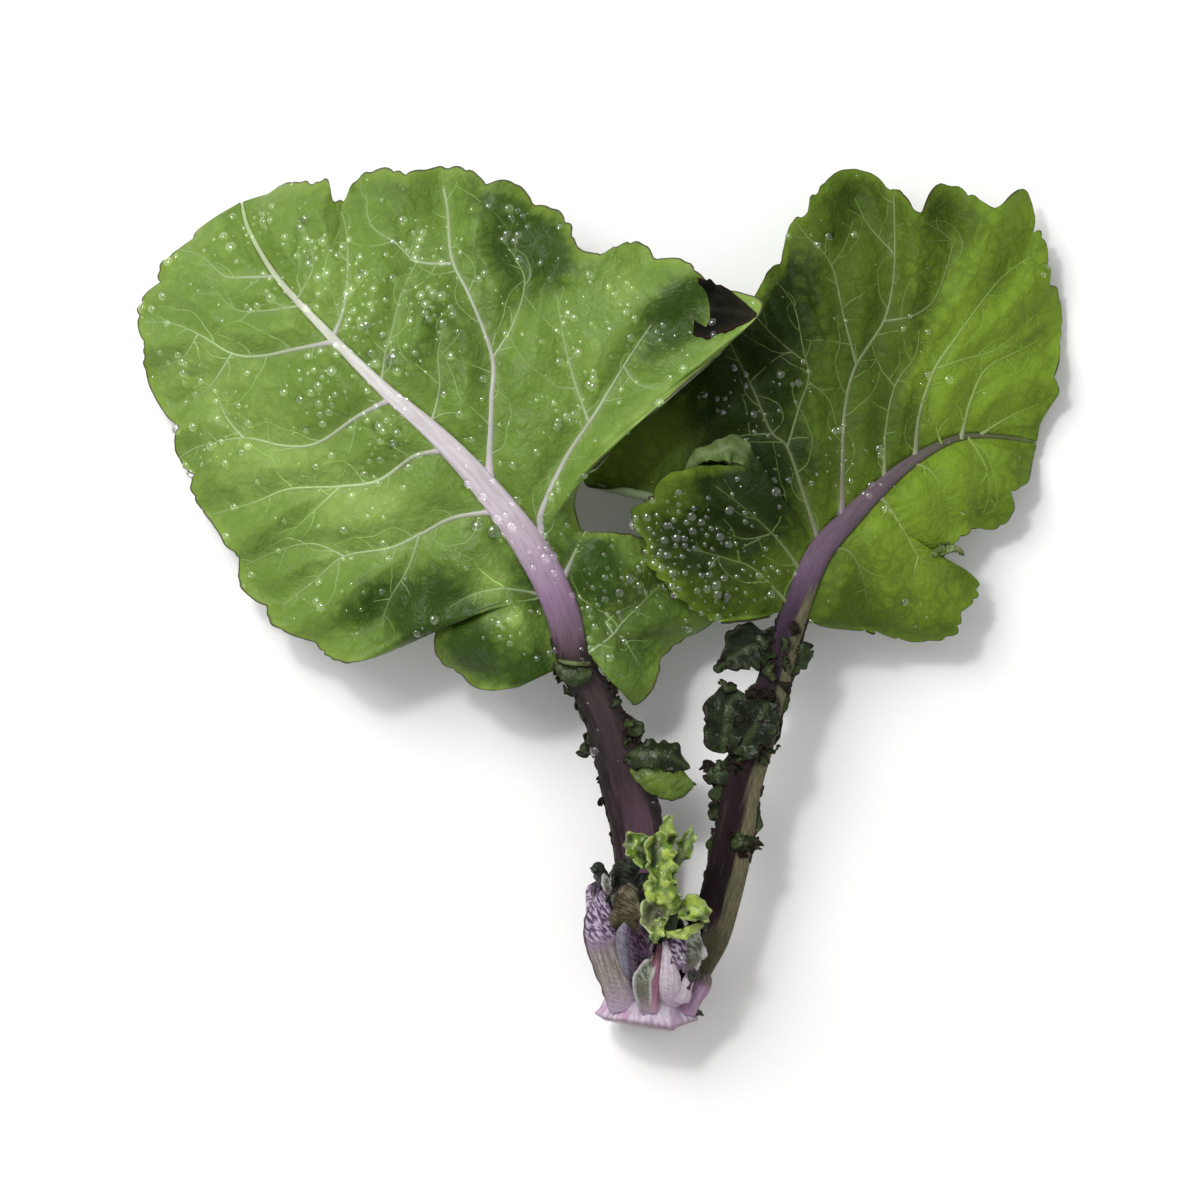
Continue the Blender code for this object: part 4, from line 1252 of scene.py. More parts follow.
# middle in the picture, radius in picture points, and how thick the dew lies
LEFT_DEW = [
    (487, 632, 16, 1.6), (478, 612, 14, 1.2), (501, 641, 12, 1.2), (511, 622, 16, 1.1), (551, 582, 10, 1.2),
    (470, 655, 16, 1.1), (492, 674, 14, 1.2), (444, 613, 11, 0.9), (420, 672, 15, 0.8), (404, 647, 9, 0.9),
    (483, 692, 13, 0.8), (577, 640, 16, 0.9), (572, 668, 8, 1.1), (547, 716, 10, 1.0), (594, 744, 18, 1.6),
    (610, 735, 12, 1.3), (545, 757, 10, 1.1), (433, 585, 12, 1.0), (475, 745, 12, 0.6), (590, 617, 16, 0.8),
    (510, 598, 14, 0.7), (463, 596, 16, 0.8), (617, 640, 10, 1.0), (600, 700, 10, 0.8), (560, 728, 8, 1.0),
]
RIGHT_DEW = [
    (617, 722, 20, 1.9), (641, 742, 16, 1.7), (640, 722, 15, 1.4), (658, 737, 9, 1.4), (700, 690, 16, 0.8),
    (668, 655, 12, 0.9), (645, 655, 10, 1.0), (665, 700, 14, 0.6), (690, 590, 10, 0.7), (730, 643, 12, 0.3),
    (655, 668, 10, 1.0), (622, 745, 10, 1.2),
]
# large drops: middle in the picture, and radius in millimetres
LEFT_DROPS = [
    (496, 644, 0.86), (533.7, 715.5, 0.72), (541.5, 719.8, 0.8), (485.8, 630, 0.52), (460.3, 600.2, 0.5),
    (547, 591.3, 0.55), (570, 674.8, 0.62), (490.3, 673, 0.52), (499, 674.4, 0.48), (496.8, 681.3, 0.5),
    (502.4, 690, 0.55), (475, 719.5, 0.5), (518.3, 658.9, 0.5), (483.3, 606, 0.48), (497.3, 592, 0.5),
    (529, 699, 0.52), (463.5, 690.8, 0.42), (457, 582, 0.4), (581, 655, 0.5), (428.5, 683.5, 0.42),
    (486.5, 640.8, 0.46), (493.5, 634, 0.42), (553, 578, 0.4), (549, 583, 0.42), (455.5, 661, 0.5),
]
RIGHT_DROPS = [
    (689.5, 589, 0.45), (617, 716, 0.42), (624, 723, 0.45), (612, 728, 0.42), (633, 737, 0.45),
    (725, 624.5, 0.35), (642, 748, 0.45), (628, 710, 0.36),
]
# middle in the picture, radius in picture points, and -1 for dark to 1 for pale; partly the tissue's own
# tone, partly painted shade where folds, curls and the other leaf shade the blade, and painted light where
# glints and light through thin tissue show
LEFT_TONES_AND_LIGHT = [
    (567, 593, 22, -1.0), (545, 583, 14, -0.6), (618, 627, 13, -0.9), (628, 616, 9, -0.7),
    (608, 642, 12, -0.6), (650, 629, 6, 0.9), (641, 641, 7, 0.8), (630, 652, 7, 0.9), (618, 662, 7, 0.9),
    (606, 671, 7, 0.9), (595, 682, 7, 0.7), (586, 694, 7, 0.5), (599, 612, 12, 0.4),
    (520, 640, 18, -0.4), (511, 755, 20, -1.2), (480, 752, 16, -0.6), (611, 748, 22, -0.7),
    (606, 777, 11, -0.3), (540, 560, 12, -0.5), (485, 712, 28, 0.6), (440, 690, 30, 0.5),
    (420, 640, 25, 0.4), (470, 600, 30, 0.3), (555, 745, 14, -0.7), (560, 660, 14, 0.2),
    (575, 740, 16, -0.6), (500, 565, 14, -0.3), (535, 771, 14, -0.8), (556, 779, 12, -0.8),
    (520, 757, 14, -0.6), (539, 739, 7, 1.2), (551, 757, 5, 1.2), (545, 740, 4, 0.9), (588, 728, 10, -0.5),
    (597, 718, 8, 0.6), (603, 728, 7, 0.6), (594, 784, 8, 0.4),
]
# on the right leaf the large dark spots at the left are painted shadow of the left leaf's lobe, and the pale
# ones at the right are painted light through the tissue
RIGHT_TONES_AND_LIGHT = [
    (645, 640, 38, -0.95), (655, 695, 26, -0.9), (690, 632, 16, -0.3), (770, 640, 40, 1.1),
    (752, 690, 24, 0.9), (720, 722, 32, 0.9), (772, 588, 24, 0.6), (628, 726, 26, -0.5),
    (660, 612, 18, -0.6), (700, 590, 24, -0.3), (735, 655, 18, 0.3), (696, 738, 14, -0.3),
    (740, 575, 14, -0.2), (715, 660, 14, -0.2), (641, 697, 8, -1.2), (651, 697, 7, -1.1),
    (660, 716, 12, -0.4), (741, 727, 5, 1.0), (788, 617, 6, 0.8), (772, 574, 7, 0.8),
]


@dataclass
class SmallLeaf:
    """A leaflet or a young leaf, as a rib with a half width, curved across and crinkled."""

    # x, y, z and half width along the rib
    rib: list[Point]
    # the way its upper face looks
    facing: Point = (0.0, 0.0, 1.0)
    finish: int = 0
    form: Form = Form.ROUND
    # whether its heights count from the blade under it, and whether it looks like a part of that blade
    laid: bool = False
    seamless: bool = False
    # how far each margin is turned up, in degrees
    cup: float = 25.0
    ruffle_pitch: float = 4.0
    ruffle_height: float = 0.5
    # the share of the length that stays unruffled
    smooth_base: float = 0.0
    thickness: float = 0.4
    rib_depth: float = 0.8
    # how deep the small folds and the ragged teeth of the margin are
    crinkle: float = 0.22
    teeth: float = 0.3
    rows: int = 46
    columns: int = 20
    # -1 for dark to 1 for pale, partly the leaf's own tone and partly painted shade and painted light, and
    # how much paler it gets from the root to the tip
    tone: float = 0.0
    tone_swing: float = 0.0
    # painted shade in its hollows and painted light on its crests: how much darker its hollows are than its
    # crests
    fold_tone: float = 0.4

    def middle(self, places: np.ndarray) -> np.ndarray:
        """The middle of the upper face at each place."""
        return spline(self.rib, places)[..., :3] + PLACE

    def grid(self) -> Grid:
        """The leaf's upper face.

        Returns:
            Its points with the marks that its finish reads.
        """
        last = len(self.rib) - 1
        share = np.linspace(0.0, 1.0, self.rows + 1)
        places = share * last
        middle = self.middle(places)
        gone = travelled(middle)
        width = np.maximum(spline(self.rib, places)[:, 3], 0.1)
        plain = width.copy()
        if self.form is Form.ROUND:
            width = width * np.sqrt(np.maximum(0.02, 1.0 - np.clip((share - 0.7) / 0.3, 0.0, 1.0) ** 2))
        ahead = self.middle(places + TANGENT_STEP) - self.middle(places - TANGENT_STEP)
        across = unit(np.cross(unit(np.array(self.facing, float)), ahead))
        outward = unit(np.cross(ahead, across))
        column = np.linspace(1.0, -1.0, self.columns + 1)
        angle = np.radians(self.cup) * column
        seed = float(middle[0, 0] + 3.1 * middle[0, 1])
        ragged = np.stack([waver(noise_line(gone, side), 0.8, seed) for side in (1.0, -1.0)], axis=1)
        tooth = np.where(column[None, :] > 0.0, ragged[:, :1], ragged[:, 1:]) * self.teeth
        stretch = 1.0 + tooth * np.abs(column)[None, :] ** 4
        radius = width[:, None] / math.radians(max(abs(self.cup), 1.0)) * stretch
        rise = np.copysign(1.0, self.cup) * radius * (1.0 - np.cos(angle))[None, :]
        reach = np.sign(column)[None, :] * radius * np.sin(np.abs(angle))[None, :]
        grown = np.clip(3.0 * (share - self.smooth_base), 0.0, 1.0)[:, None]
        phase = np.where(column > 0.0, 1.5, 0.0)[None, :]
        wave = np.sin(2.0 * math.pi * gone[:, None] / self.ruffle_pitch + phase)
        bounded = np.minimum(1.0, plain)[:, None]
        ruffle = grown * self.ruffle_height * wave * np.abs(column)[None, :] ** 2 * bounded
        points = middle[:, None] + across[:, None] * reach[..., None]
        points = points + outward[:, None] * (rise + ruffle)[..., None]
        folds = waver(points, 1.5, seed + 9.0) + 0.5 * waver(points, 0.7, seed + 17.0)
        lift = self.crinkle * folds * (0.25 + 0.75 * grown) * (0.3 + 0.7 * np.abs(column))[None, :]
        points = points + outward[:, None] * lift[..., None]
        thin = (1.0 - np.abs(column))[None, :] ** 1.5
        deeper = (self.rib_depth - self.thickness) * thin * np.minimum(1.0, width)[:, None]
        inward = (1.0 - np.abs(column))[None, :] * width[:, None]
        swing = self.tone_swing * (share[:, None] - 0.5)
        marks = {
            "edge": np.clip(1.0 - inward / 1.6, 0.0, 1.0),
            "vein": np.exp(-((column[None, :] * width[:, None]) / 0.3) ** 2),
            "along": share[:, None],
            "gone": gone[:, None],
            "across": column[None, :] * plain[:, None],
            # the tone mark: the leaf's own tone and painted light, swung from root to tip, with painted shade
            # in the hollows of the folds and painted light on their crests
            "tone": np.clip(self.tone + swing + self.fold_tone * folds, -1.3, 1.3),
        }
        if self.seamless:
            marks["edge"] = marks["vein"] = 0.0 * folds
        return Grid(points, marks, self.thickness + deeper, self.finish)


def crumbs(spots: list[Point], seed: int, plan: LeafPlan | None = None) -> list[SmallLeaf]:
    """Scraps of curled blade, a millimetre or two long, that sit on a petiole.

    Args:
        spots: each one's place in the picture, its height and its length in millimetres.
        seed: where their turns come from.
        plan: the leaf whose petiole they cling to, if they all do.

    Returns:
        One small leaf for each.
    """
    dice = random.Random(seed)
    made = []
    middles, widths = LeafSurface(plan).rib(np.linspace(0.0, plan.base + 2.0, 300)) if plan else (None, None)
    for px, py, z, size in spots:
        spot = np.array(picture_point(px, py))
        if plan:
            away = np.hypot(*(middles[:, :2] - spot).T)
            nearest = int(away.argmin())
            share = min(1.0, (widths[nearest] + 0.12 * size) / away[nearest])
            spot = middles[nearest, :2] + share * (spot - middles[nearest, :2])
        x, y = (float(v) for v in spot - PLACE[:2])
        turn = dice.uniform(0.0, 2.0 * math.pi)
        ahead = np.array((math.cos(turn), math.sin(turn), 0.0)) * 0.5 * size
        side = np.array((-ahead[1], ahead[0], 0.0)) * dice.uniform(-0.7, 0.7)
        size *= 0.85
        middle = np.array((x, y, z))
        ends = [middle - ahead, middle + side + (0.0, 0.0, 0.4), middle + ahead - (0.0, 0.0, 0.2)]
        spans = (0.18 * size, dice.uniform(0.3, 0.45) * size, 0.15 * size)
        rib = [(*end, span) for end, span in zip(ends, spans)]
        facing = (dice.uniform(-0.4, 0.4), dice.uniform(-0.4, 0.4), 1.0)
        made.append(SmallLeaf(
            rib, facing, finish=dice.choice((0, 1)), cup=dice.uniform(-80.0, 80.0), ruffle_pitch=1.1,
            ruffle_height=0.55, crinkle=0.5, teeth=0.8, rows=16, columns=12, thickness=0.22, rib_depth=0.25,
            tone=dice.uniform(-1.3, -0.2),
        ))
    return made


@dataclass
class PetioleWing:
    """The narrow ragged strip of blade along one edge of a petiole."""

    side: Side
    # the rib places between which it runs
    start: float
    end: float
    width: float = 0.9
    lift: float = 0.45
    finish: int = 0
    seed: float = 1.0

    def grid(self, surface: LeafSurface) -> Grid:
        """The strip's upper face.

        Args:
            surface: the leaf that it grows along.

        Returns:
            Its grid, from left to right.
        """
        rough = surface.rib(np.linspace(self.start, self.end, 60))[0]
        rows = int(travelled(rough)[-1] / 0.22)
        places = np.linspace(self.start, self.end, rows + 1)
        middle, width = surface.rib(places)
        gone = travelled(middle)
        across = surface.across(places) * self.side.value
        t = np.linspace(0.0, 1.0, 7)
        line = noise_line(gone)
        broad = 0.1 + 1.9 * waver(line, 2.9, self.seed) + 0.7 * waver(line, 0.9, self.seed + 4.0)
        ends = np.minimum(1.0, np.minimum(gone, gone[-1] - gone) / 1.2)
        reach = self.width * np.clip(broad, 0.04, 1.7) * ends
        wave = waver(line, 1.1, self.seed + 8.0) + 0.4
        out = 0.9 * width[:, None] + reach[:, None] * t[None, :]
        up = self.lift * wave[:, None] * t[None, :] ** 1.5 - 0.1
        points = middle[:, None] + across[:, None] * out[..., None] + UP * up[..., None]
        marks = {"edge": t[None, :], "along": np.full((1, 1), 0.5), "gone": gone[:, None]}
        grid = Grid(points, marks, np.full((1, 1), 0.35), self.finish)
        return grid.mirrored() if self.side is Side.LEFT else grid


@dataclass
class VeinNet:
    """The raised veins of a blade: the main ones, and the twigs that leave them."""

    # half width where each begins and ends, and its points in the picture
    paths: list[tuple]
    seed: int = 5
    step: float = 0.5
    fineness: float = 0.8
    twig_gap: tuple[float, float] = (1.9, 3.4)
    # how far a twig goes to meet another line, and how long one that meets none is
    longest_twig: float = 12.0
    twig_length: tuple[float, float] = (2.0, 3.6)
    twig_width: tuple[float, float] = (0.12, 0.06)
    lines: list[np.ndarray] = field(default_factory=list)

    @staticmethod
    def rooted(corners: list[Point], midrib: np.ndarray, wider: list[np.ndarray]) -> list[Point]:
        """The path, begun on the midrib or on the vein that it branches from.

        Args:
            corners: the path's points.
            midrib: points along the midrib.
            wider: the veins that it may branch from.

        Returns:
            The path with its root put first.
        """
        best = None
        others = [(other, VEIN_REACH, 0.0) for other in wider]
        for line, reach, handicap in [(midrib, MIDRIB_REACH, -MIDRIB_BONUS), *others]:
            away = np.hypot(*(line[:, :2] - corners[0]).T)
            nearest = int(away.argmin())
            if away[nearest] < reach and (best is None or away[nearest] + handicap < best[0]):
                gone = travelled(line[:, :2])
                root = int(np.searchsorted(gone, gone[nearest] - ROOT_SETBACK * away[nearest]))
                best = (away[nearest] + handicap, away[nearest], tuple(line[root, :2]))
        if best is None or best[1] < TOUCHING:
            return corners
        return [best[2], *corners[int(best[1] < ROOT_NEAR) :]]

    def trace(self, blade: BVHTree, midrib: np.ndarray) -> None:
        """Finds every line's x, y and half width, main veins first.

        Args:
            blade: the blade that the lines must stay on.
            midrib: points along the midrib.
        """
        wides = []
        for wide, narrow, path in sorted(self.paths, key=lambda one: -one[0]):
            wider = [line for line, other in zip(self.lines, wides) if other > wide]
            corners = self.rooted([picture_point(*point) for point in path], midrib, wider)
            wides.append(wide)
            count = max(4, int(travelled(np.array(corners))[-1] / self.step))
            points = spline(corners, np.linspace(0.0, len(corners) - 1.0, count))
            share = travelled(points) / travelled(points)[-1]
            width = self.fineness * (narrow + (wide - narrow) * (1.0 - share) ** 1.3)
            self.lines.append(np.column_stack([points, width]))
        dice = random.Random(self.seed)
        taken = np.concatenate(self.lines)[:, :2]
        for line in list(self.lines):
            side = dice.choice((-1.0, 1.0))
            place = dice.uniform(1.0, 2.5)
            length = len(line) * self.step
            while place < length - 1.0:
                side = -side
                start = min(int(place / self.step), len(line) - 2)
                heading = math.atan2(*(line[start + 1, :2] - line[start, :2])[::-1])
                heading += side * math.radians(dice.uniform(*TWIG_ANGLES))
                twig = self.twig(line[start], heading, side, taken, blade, dice)
                if len(twig) > 3:
                    self.lines.append(twig)
                    taken = np.concatenate([taken, twig[:, :2]])
                place += dice.uniform(*self.twig_gap)

    def twig(self, start: np.ndarray, heading: float, side: float, taken: np.ndarray, blade: BVHTree,
             dice: random.Random) -> np.ndarray:
        """One twig.

        Args:
            start: x, y and half width of the vein where it leaves.
            heading: the way it sets out.
            side: which way it bends back.
            taken: the points of every line so far.
            blade: the blade.
            dice: where its turns come from.

        Returns:
            Its x, y and half width.
        """
        wide, narrow = self.twig_width
        wide = min(wide, 0.8 * start[2])
        steps = int(self.longest_twig / self.step)
        points = [np.array(start[:2])]
        met = False
        for i in range(steps):
            heading += -side * TWIG_BEND + dice.uniform(-TWIG_WANDER, TWIG_WANDER)
            step = self.step * np.array((math.cos(heading), math.sin(heading)))
            points.append(points[-1] + step)
            away = np.hypot(*(taken - points[-1]).T)
            if i > 2 and away.min() < TWIG_MEETS:
                points.append(taken[away.argmin()])
                met = True
                break
            if ray_down(blade, *points[-1]) is None:
                break
        if not met:
            points = points[: int(dice.uniform(*self.twig_length) / self.step)]
        share = np.linspace(0.0, 1.0, len(points))
        return np.column_stack([np.array(points), wide + (narrow - wide) * share])

    def mesh(self, name: str, blade: BVHTree, rib: BVHTree, tones: Callable) -> bpy.types.Object:
        """The lines laid on the blade, as edges with a width.

        Args:
            name: the object's name.
            blade: the finished blade.
            rib: the top of the finished rib.
            tones: gives the tissue's tone at points, with its painted shade and painted light.

        Returns:
            The object.
        """
        points = []
        widths = []
        edges = []
        for line in self.lines:
            hits = [ray_down(blade, x, y) for x, y, _ in line]
            found = [i for i, hit in enumerate(hits) if hit is not None]
            if len(found) < 3:
                continue
            line = line[: found[-1] + 1]
            heights = np.interp(range(len(line)), found, [hits[i].z for i in found])
            over = [ray_down(rib, x, y) for x, y, _ in line]
            inside = np.array([0.0 if hit is None else hit.z - z for hit, z in zip(over, heights)])
            entered = int(np.nonzero(inside > 0.2)[0].max(initial=0))
            beyond = self.step * np.maximum(0.0, np.arange(len(line)) - entered)
            flare = (0.4 if entered else 0.2) * np.exp(-beyond / 1.5)
            width = line[:, 2] * (1.0 + flare)
            heights = heights + np.clip(inside, 0.0, VEIN_CLIMB)
            smooth = np.convolve(np.pad(heights, 1, mode="edge"), (0.25, 0.5, 0.25), mode="valid")
            start = len(points)
            points += np.column_stack([line[:, :2], smooth - VEIN_SUNK * width]).tolist()
            widths += width.tolist()
            edges += [(start + i, start + i + 1) for i in range(len(line) - 1)]
        width = np.array(widths, np.float32)
        marks = {
            "width": width * MM,
            "along": np.clip((width - 0.08) / 0.5, 0.0, 1.0),
            "gone": np.arange(len(width), dtype=np.float32) * self.step,
            "tone": tones(np.array(points)),
        }
        return mesh_object(name, np.array(points), [], marks, edges)


@dataclass
class RibTube:
    """A petiole and its midrib as one closed tube with a crowned top and a round underside."""

    surface: LeafSurface
    rings: int = 210
    sides: int = 36
    crown: tuple[float, float] = (0.26, 0.5)
    depth: float = 1.4
    # how deep the channel along the petiole is, for a half width of 1
    channel: float = 0.14
    ridge: float = 0.03
    # the side of the petiole with the other colour, or both
    flank: Side | None = None

    def points(self) -> tuple[np.ndarray, dict[str, np.ndarray]]:
        """Rings of points from the petiole's root to the midrib's tip, left over the top to the right.

        Returns:
            The points, and the marks that the finish reads.
        """
        plan = self.surface.plan
        last = len(plan.rib) - 1
        dense = np.linspace(0.0, last, 1200)
        lengths = travelled(self.surface.rib(dense)[0])
        gone = np.linspace(0.0, lengths[-1], self.rings)
        places = np.interp(gone, lengths, dense)
        middle, width = self.surface.rib(places)
        across = self.surface.across(places)
        share = gone / gone[-1]
        blade_from = float(np.interp(plan.base, dense, lengths))
        petiole = (1.0 - ease((gone - blade_from + 3.0) / 8.0))[:, None]
        angle = angles(self.sides)[None, :]
        c, s = np.cos(angle), np.sin(angle)
        low, high = self.crown
        top = (high + (low - high) * petiole) * np.maximum(s, 0.0) ** 0.9
        top = top - self.channel * petiole * np.exp(-((c / 0.4) ** 2)) * (s > 0.0)
        under = -self.depth * np.maximum(-s, 0.0) ** 0.8
        where = np.stack([c * 2.0 + 0.0 * gone[:, None], s * 2.0 + 0.0 * gone[:, None],
                          gone[:, None] * 0.12 + 0.0 * c], axis=-1)
        ridges = self.ridge * (waver(where, 0.35, plan.seed) + 0.6 * waver(where, 0.9, plan.seed + 2.0))
        tip = np.sqrt(np.clip((gone[-1] - gone) / 1.2, 0.02, 1.0))[:, None]
        radial = (1.0 + ridges) * width[:, None] * tip
        points = middle[:, None] + across[:, None] * (c * radial)[..., None]
        points = points + UP * ((top + under) * radial)[..., None]
        side = np.abs(c) if self.flank is None else np.maximum(0.0, c * self.flank.value)
        fade = 1.0 - ease((gone - blade_from) / 6.0)
        marks = {
            "along": share[:, None],
            "gone": gone[:, None],
            "across": c * width[:, None] + 3.0 * (s < 0.0),
            "flank": side * fade[:, None],
        }
        return points, marks

    def build(self, name: str) -> bpy.types.Object:
        """The closed tube."""
        points, marks = self.points()
        return mesh_object(name, points, tube_faces(self.rings, self.sides), marks)


class Workshop:
    """What every leaf shares: the effects, the repeating trees, and the water."""

    def __init__(self) -> None:
        """Builds the shared node groups."""
        self.effects = Effects()
        self.veins = self.raised_veins()
        self.dew = self.dew_drops()
        self.water = clear_water()

    @staticmethod
    def smooth(w: Wiring, mesh: Socket) -> Socket:
        """The mesh, shaded smooth."""
        return w.node("GeometryNodeSetShadeSmooth", {"Geometry": mesh}).outputs[0]

    @staticmethod
    def hand_over(w: Wiring, mesh: Socket, finish: Socket, out: bpy.types.Node) -> None:
        """Gives a mesh out of its group, realised and with its material.

        Args:
            w: the group's wiring.
            mesh: the mesh.
            finish: its material.
            out: the group's output node.
        """
        real = w.node("GeometryNodeRealizeInstances", {"Geometry": mesh}).outputs[0]
        dressed = w.node("GeometryNodeSetMaterial", {"Geometry": real, "Material": finish})
        feed(out, {"Geometry": dressed.outputs[0]})

    def raised_veins(self) -> bpy.types.NodeTree:
        """Turns edges into veins as thick as their width mark.

        Returns:
            The tree.
        """
        takes = {"Geometry": "Geometry", "Sides": 7, "Finish": "Material"}
        group, w, given, out = node_group("GeometryNodeTree", "raised veins", takes, ("Geometry",))
        curve = w.node("GeometryNodeMeshToCurve", {"Mesh": given["Geometry"]})
        ring = w.node("GeometryNodeCurvePrimitiveCircle", {"Resolution": given["Sides"], "Radius": 1.0})
        tube = w.node("GeometryNodeCurveToMesh", {
            "Curve": curve.outputs[0], "Profile Curve": ring.outputs[0], "Scale": w.mark("width"),
            "Fill Caps": True,
        })
        self.hand_over(w, self.smooth(w, tube.outputs[0]), given["Finish"], out)
        return group

    def dew_drops(self) -> bpy.types.NodeTree:
        """Scatters small drops where the dew mark is high, and sets a large one at each drop mark.

        Returns:
            The tree.
        """
        takes = {
            "Geometry": "Geometry", "Density": 1300000.0, "Spacing": 0.00068, "Smallest": 0.00017,
            "Largest": 0.00066, "Height": 0.62, "Seed": 4, "Finish": "Material",
        }
        group, w, given, out = node_group("GeometryNodeTree", "dew drops", takes, ("Geometry",))
        scatter = w.node("GeometryNodeDistributePointsOnFaces", {
            "Mesh": given["Geometry"], "Distance Min": given["Spacing"], "Seed": given["Seed"],
            "Density Max": given["Density"], "Density Factor": w.mark("dew"),
        }, distribute_method="POISSON").outputs
        dice = w.node("FunctionNodeRandomValue", {"Seed": given["Seed"]}, data_type="FLOAT")
        share = w.maths("POWER", dice.outputs[1], 2.0)
        span = w.maths("SUBTRACT", given["Largest"], given["Smallest"])
        size = w.maths("MULTIPLY_ADD", share, span, given["Smallest"])
        flat = w.node("ShaderNodeCombineXYZ", {"X": 1.0, "Y": 1.0, "Z": given["Height"]}).outputs[0]
        lift = w.node("ShaderNodeCombineXYZ", {"Z": 0.22}).outputs[0]
        drops = []
        for segments, rings in ((8, 5), (16, 9)):
            ball = w.node("GeometryNodeMeshUVSphere", {"Segments": segments, "Rings": rings, "Radius": 1.0})
            inputs = {"Geometry": self.smooth(w, ball.outputs[0]), "Scale": flat, "Translation": lift}
            drops.append(w.node("GeometryNodeTransform", inputs).outputs[0])
        drop = w.mark("drop")
        chosen = w.node("FunctionNodeCompare", {0: drop, 1: 0.00001}, operation="GREATER_THAN",
                        data_type="FLOAT").outputs[0]
        normal = w.node("GeometryNodeInputNormal").outputs[0]
        upright = w.node("FunctionNodeAlignRotationToVector", {"Vector": normal}, axis="Z").outputs[0]
        both = w.node("GeometryNodeJoinGeometry")
        for inputs in (
            {"Points": scatter["Points"], "Instance": drops[0], "Scale": size,
             "Rotation": scatter["Rotation"]},
            {"Points": given["Geometry"], "Selection": chosen, "Instance": drops[1], "Scale": drop,
             "Rotation": upright},
        ):
            feed(both, {0: w.node("GeometryNodeInstanceOnPoints", inputs).outputs[0]})
        self.hand_over(w, both.outputs[0], given["Finish"], out)
        return group


def grown(obj: bpy.types.Object, tree: bpy.types.NodeTree, values: dict) -> bpy.types.Object:
    """The object with a Geometry Nodes tree made part of its mesh.

    Args:
        obj: the object that the tree works on.
        tree: the tree.
        values: what its inputs take, by name.

    Returns:
        The object, with no modifier left.
    """
    modifier = obj.modifiers.new(tree.name, "NODES")
    modifier.node_group = tree
    for item in tree.interface.items_tree:
        if item.item_type == "SOCKET" and item.in_out == "INPUT" and item.name in values:
            modifier[item.identifier] = values[item.name]
    return baked(obj)


def doubled(finishes: list, effects: Effects) -> list[bpy.types.Material]:
    """Each finish as a material, once for the upper and once for the under side."""
    return [made for finish in finishes for made in [finish.material(effects)] * 2]


def fit(piece: bpy.types.Object, node: str) -> bpy.types.Object:
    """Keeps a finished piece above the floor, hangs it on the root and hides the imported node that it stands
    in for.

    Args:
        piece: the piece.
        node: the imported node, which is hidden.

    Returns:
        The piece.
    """
    count = len(piece.data.vertices)
    places = np.empty(count * 3, np.float32)
    piece.data.vertices.foreach_get("co", places)
    places = places.reshape(-1, 3)
    places[:, 2] = np.maximum(places[:, 2], LOWEST_POINT)
    piece.data.vertices.foreach_set("co", places.ravel())
    piece.data.update()
    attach(piece, "root")
    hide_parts(node)
    LOG.info("%s has %d faces", piece.name, len(piece.data.polygons))
    return piece


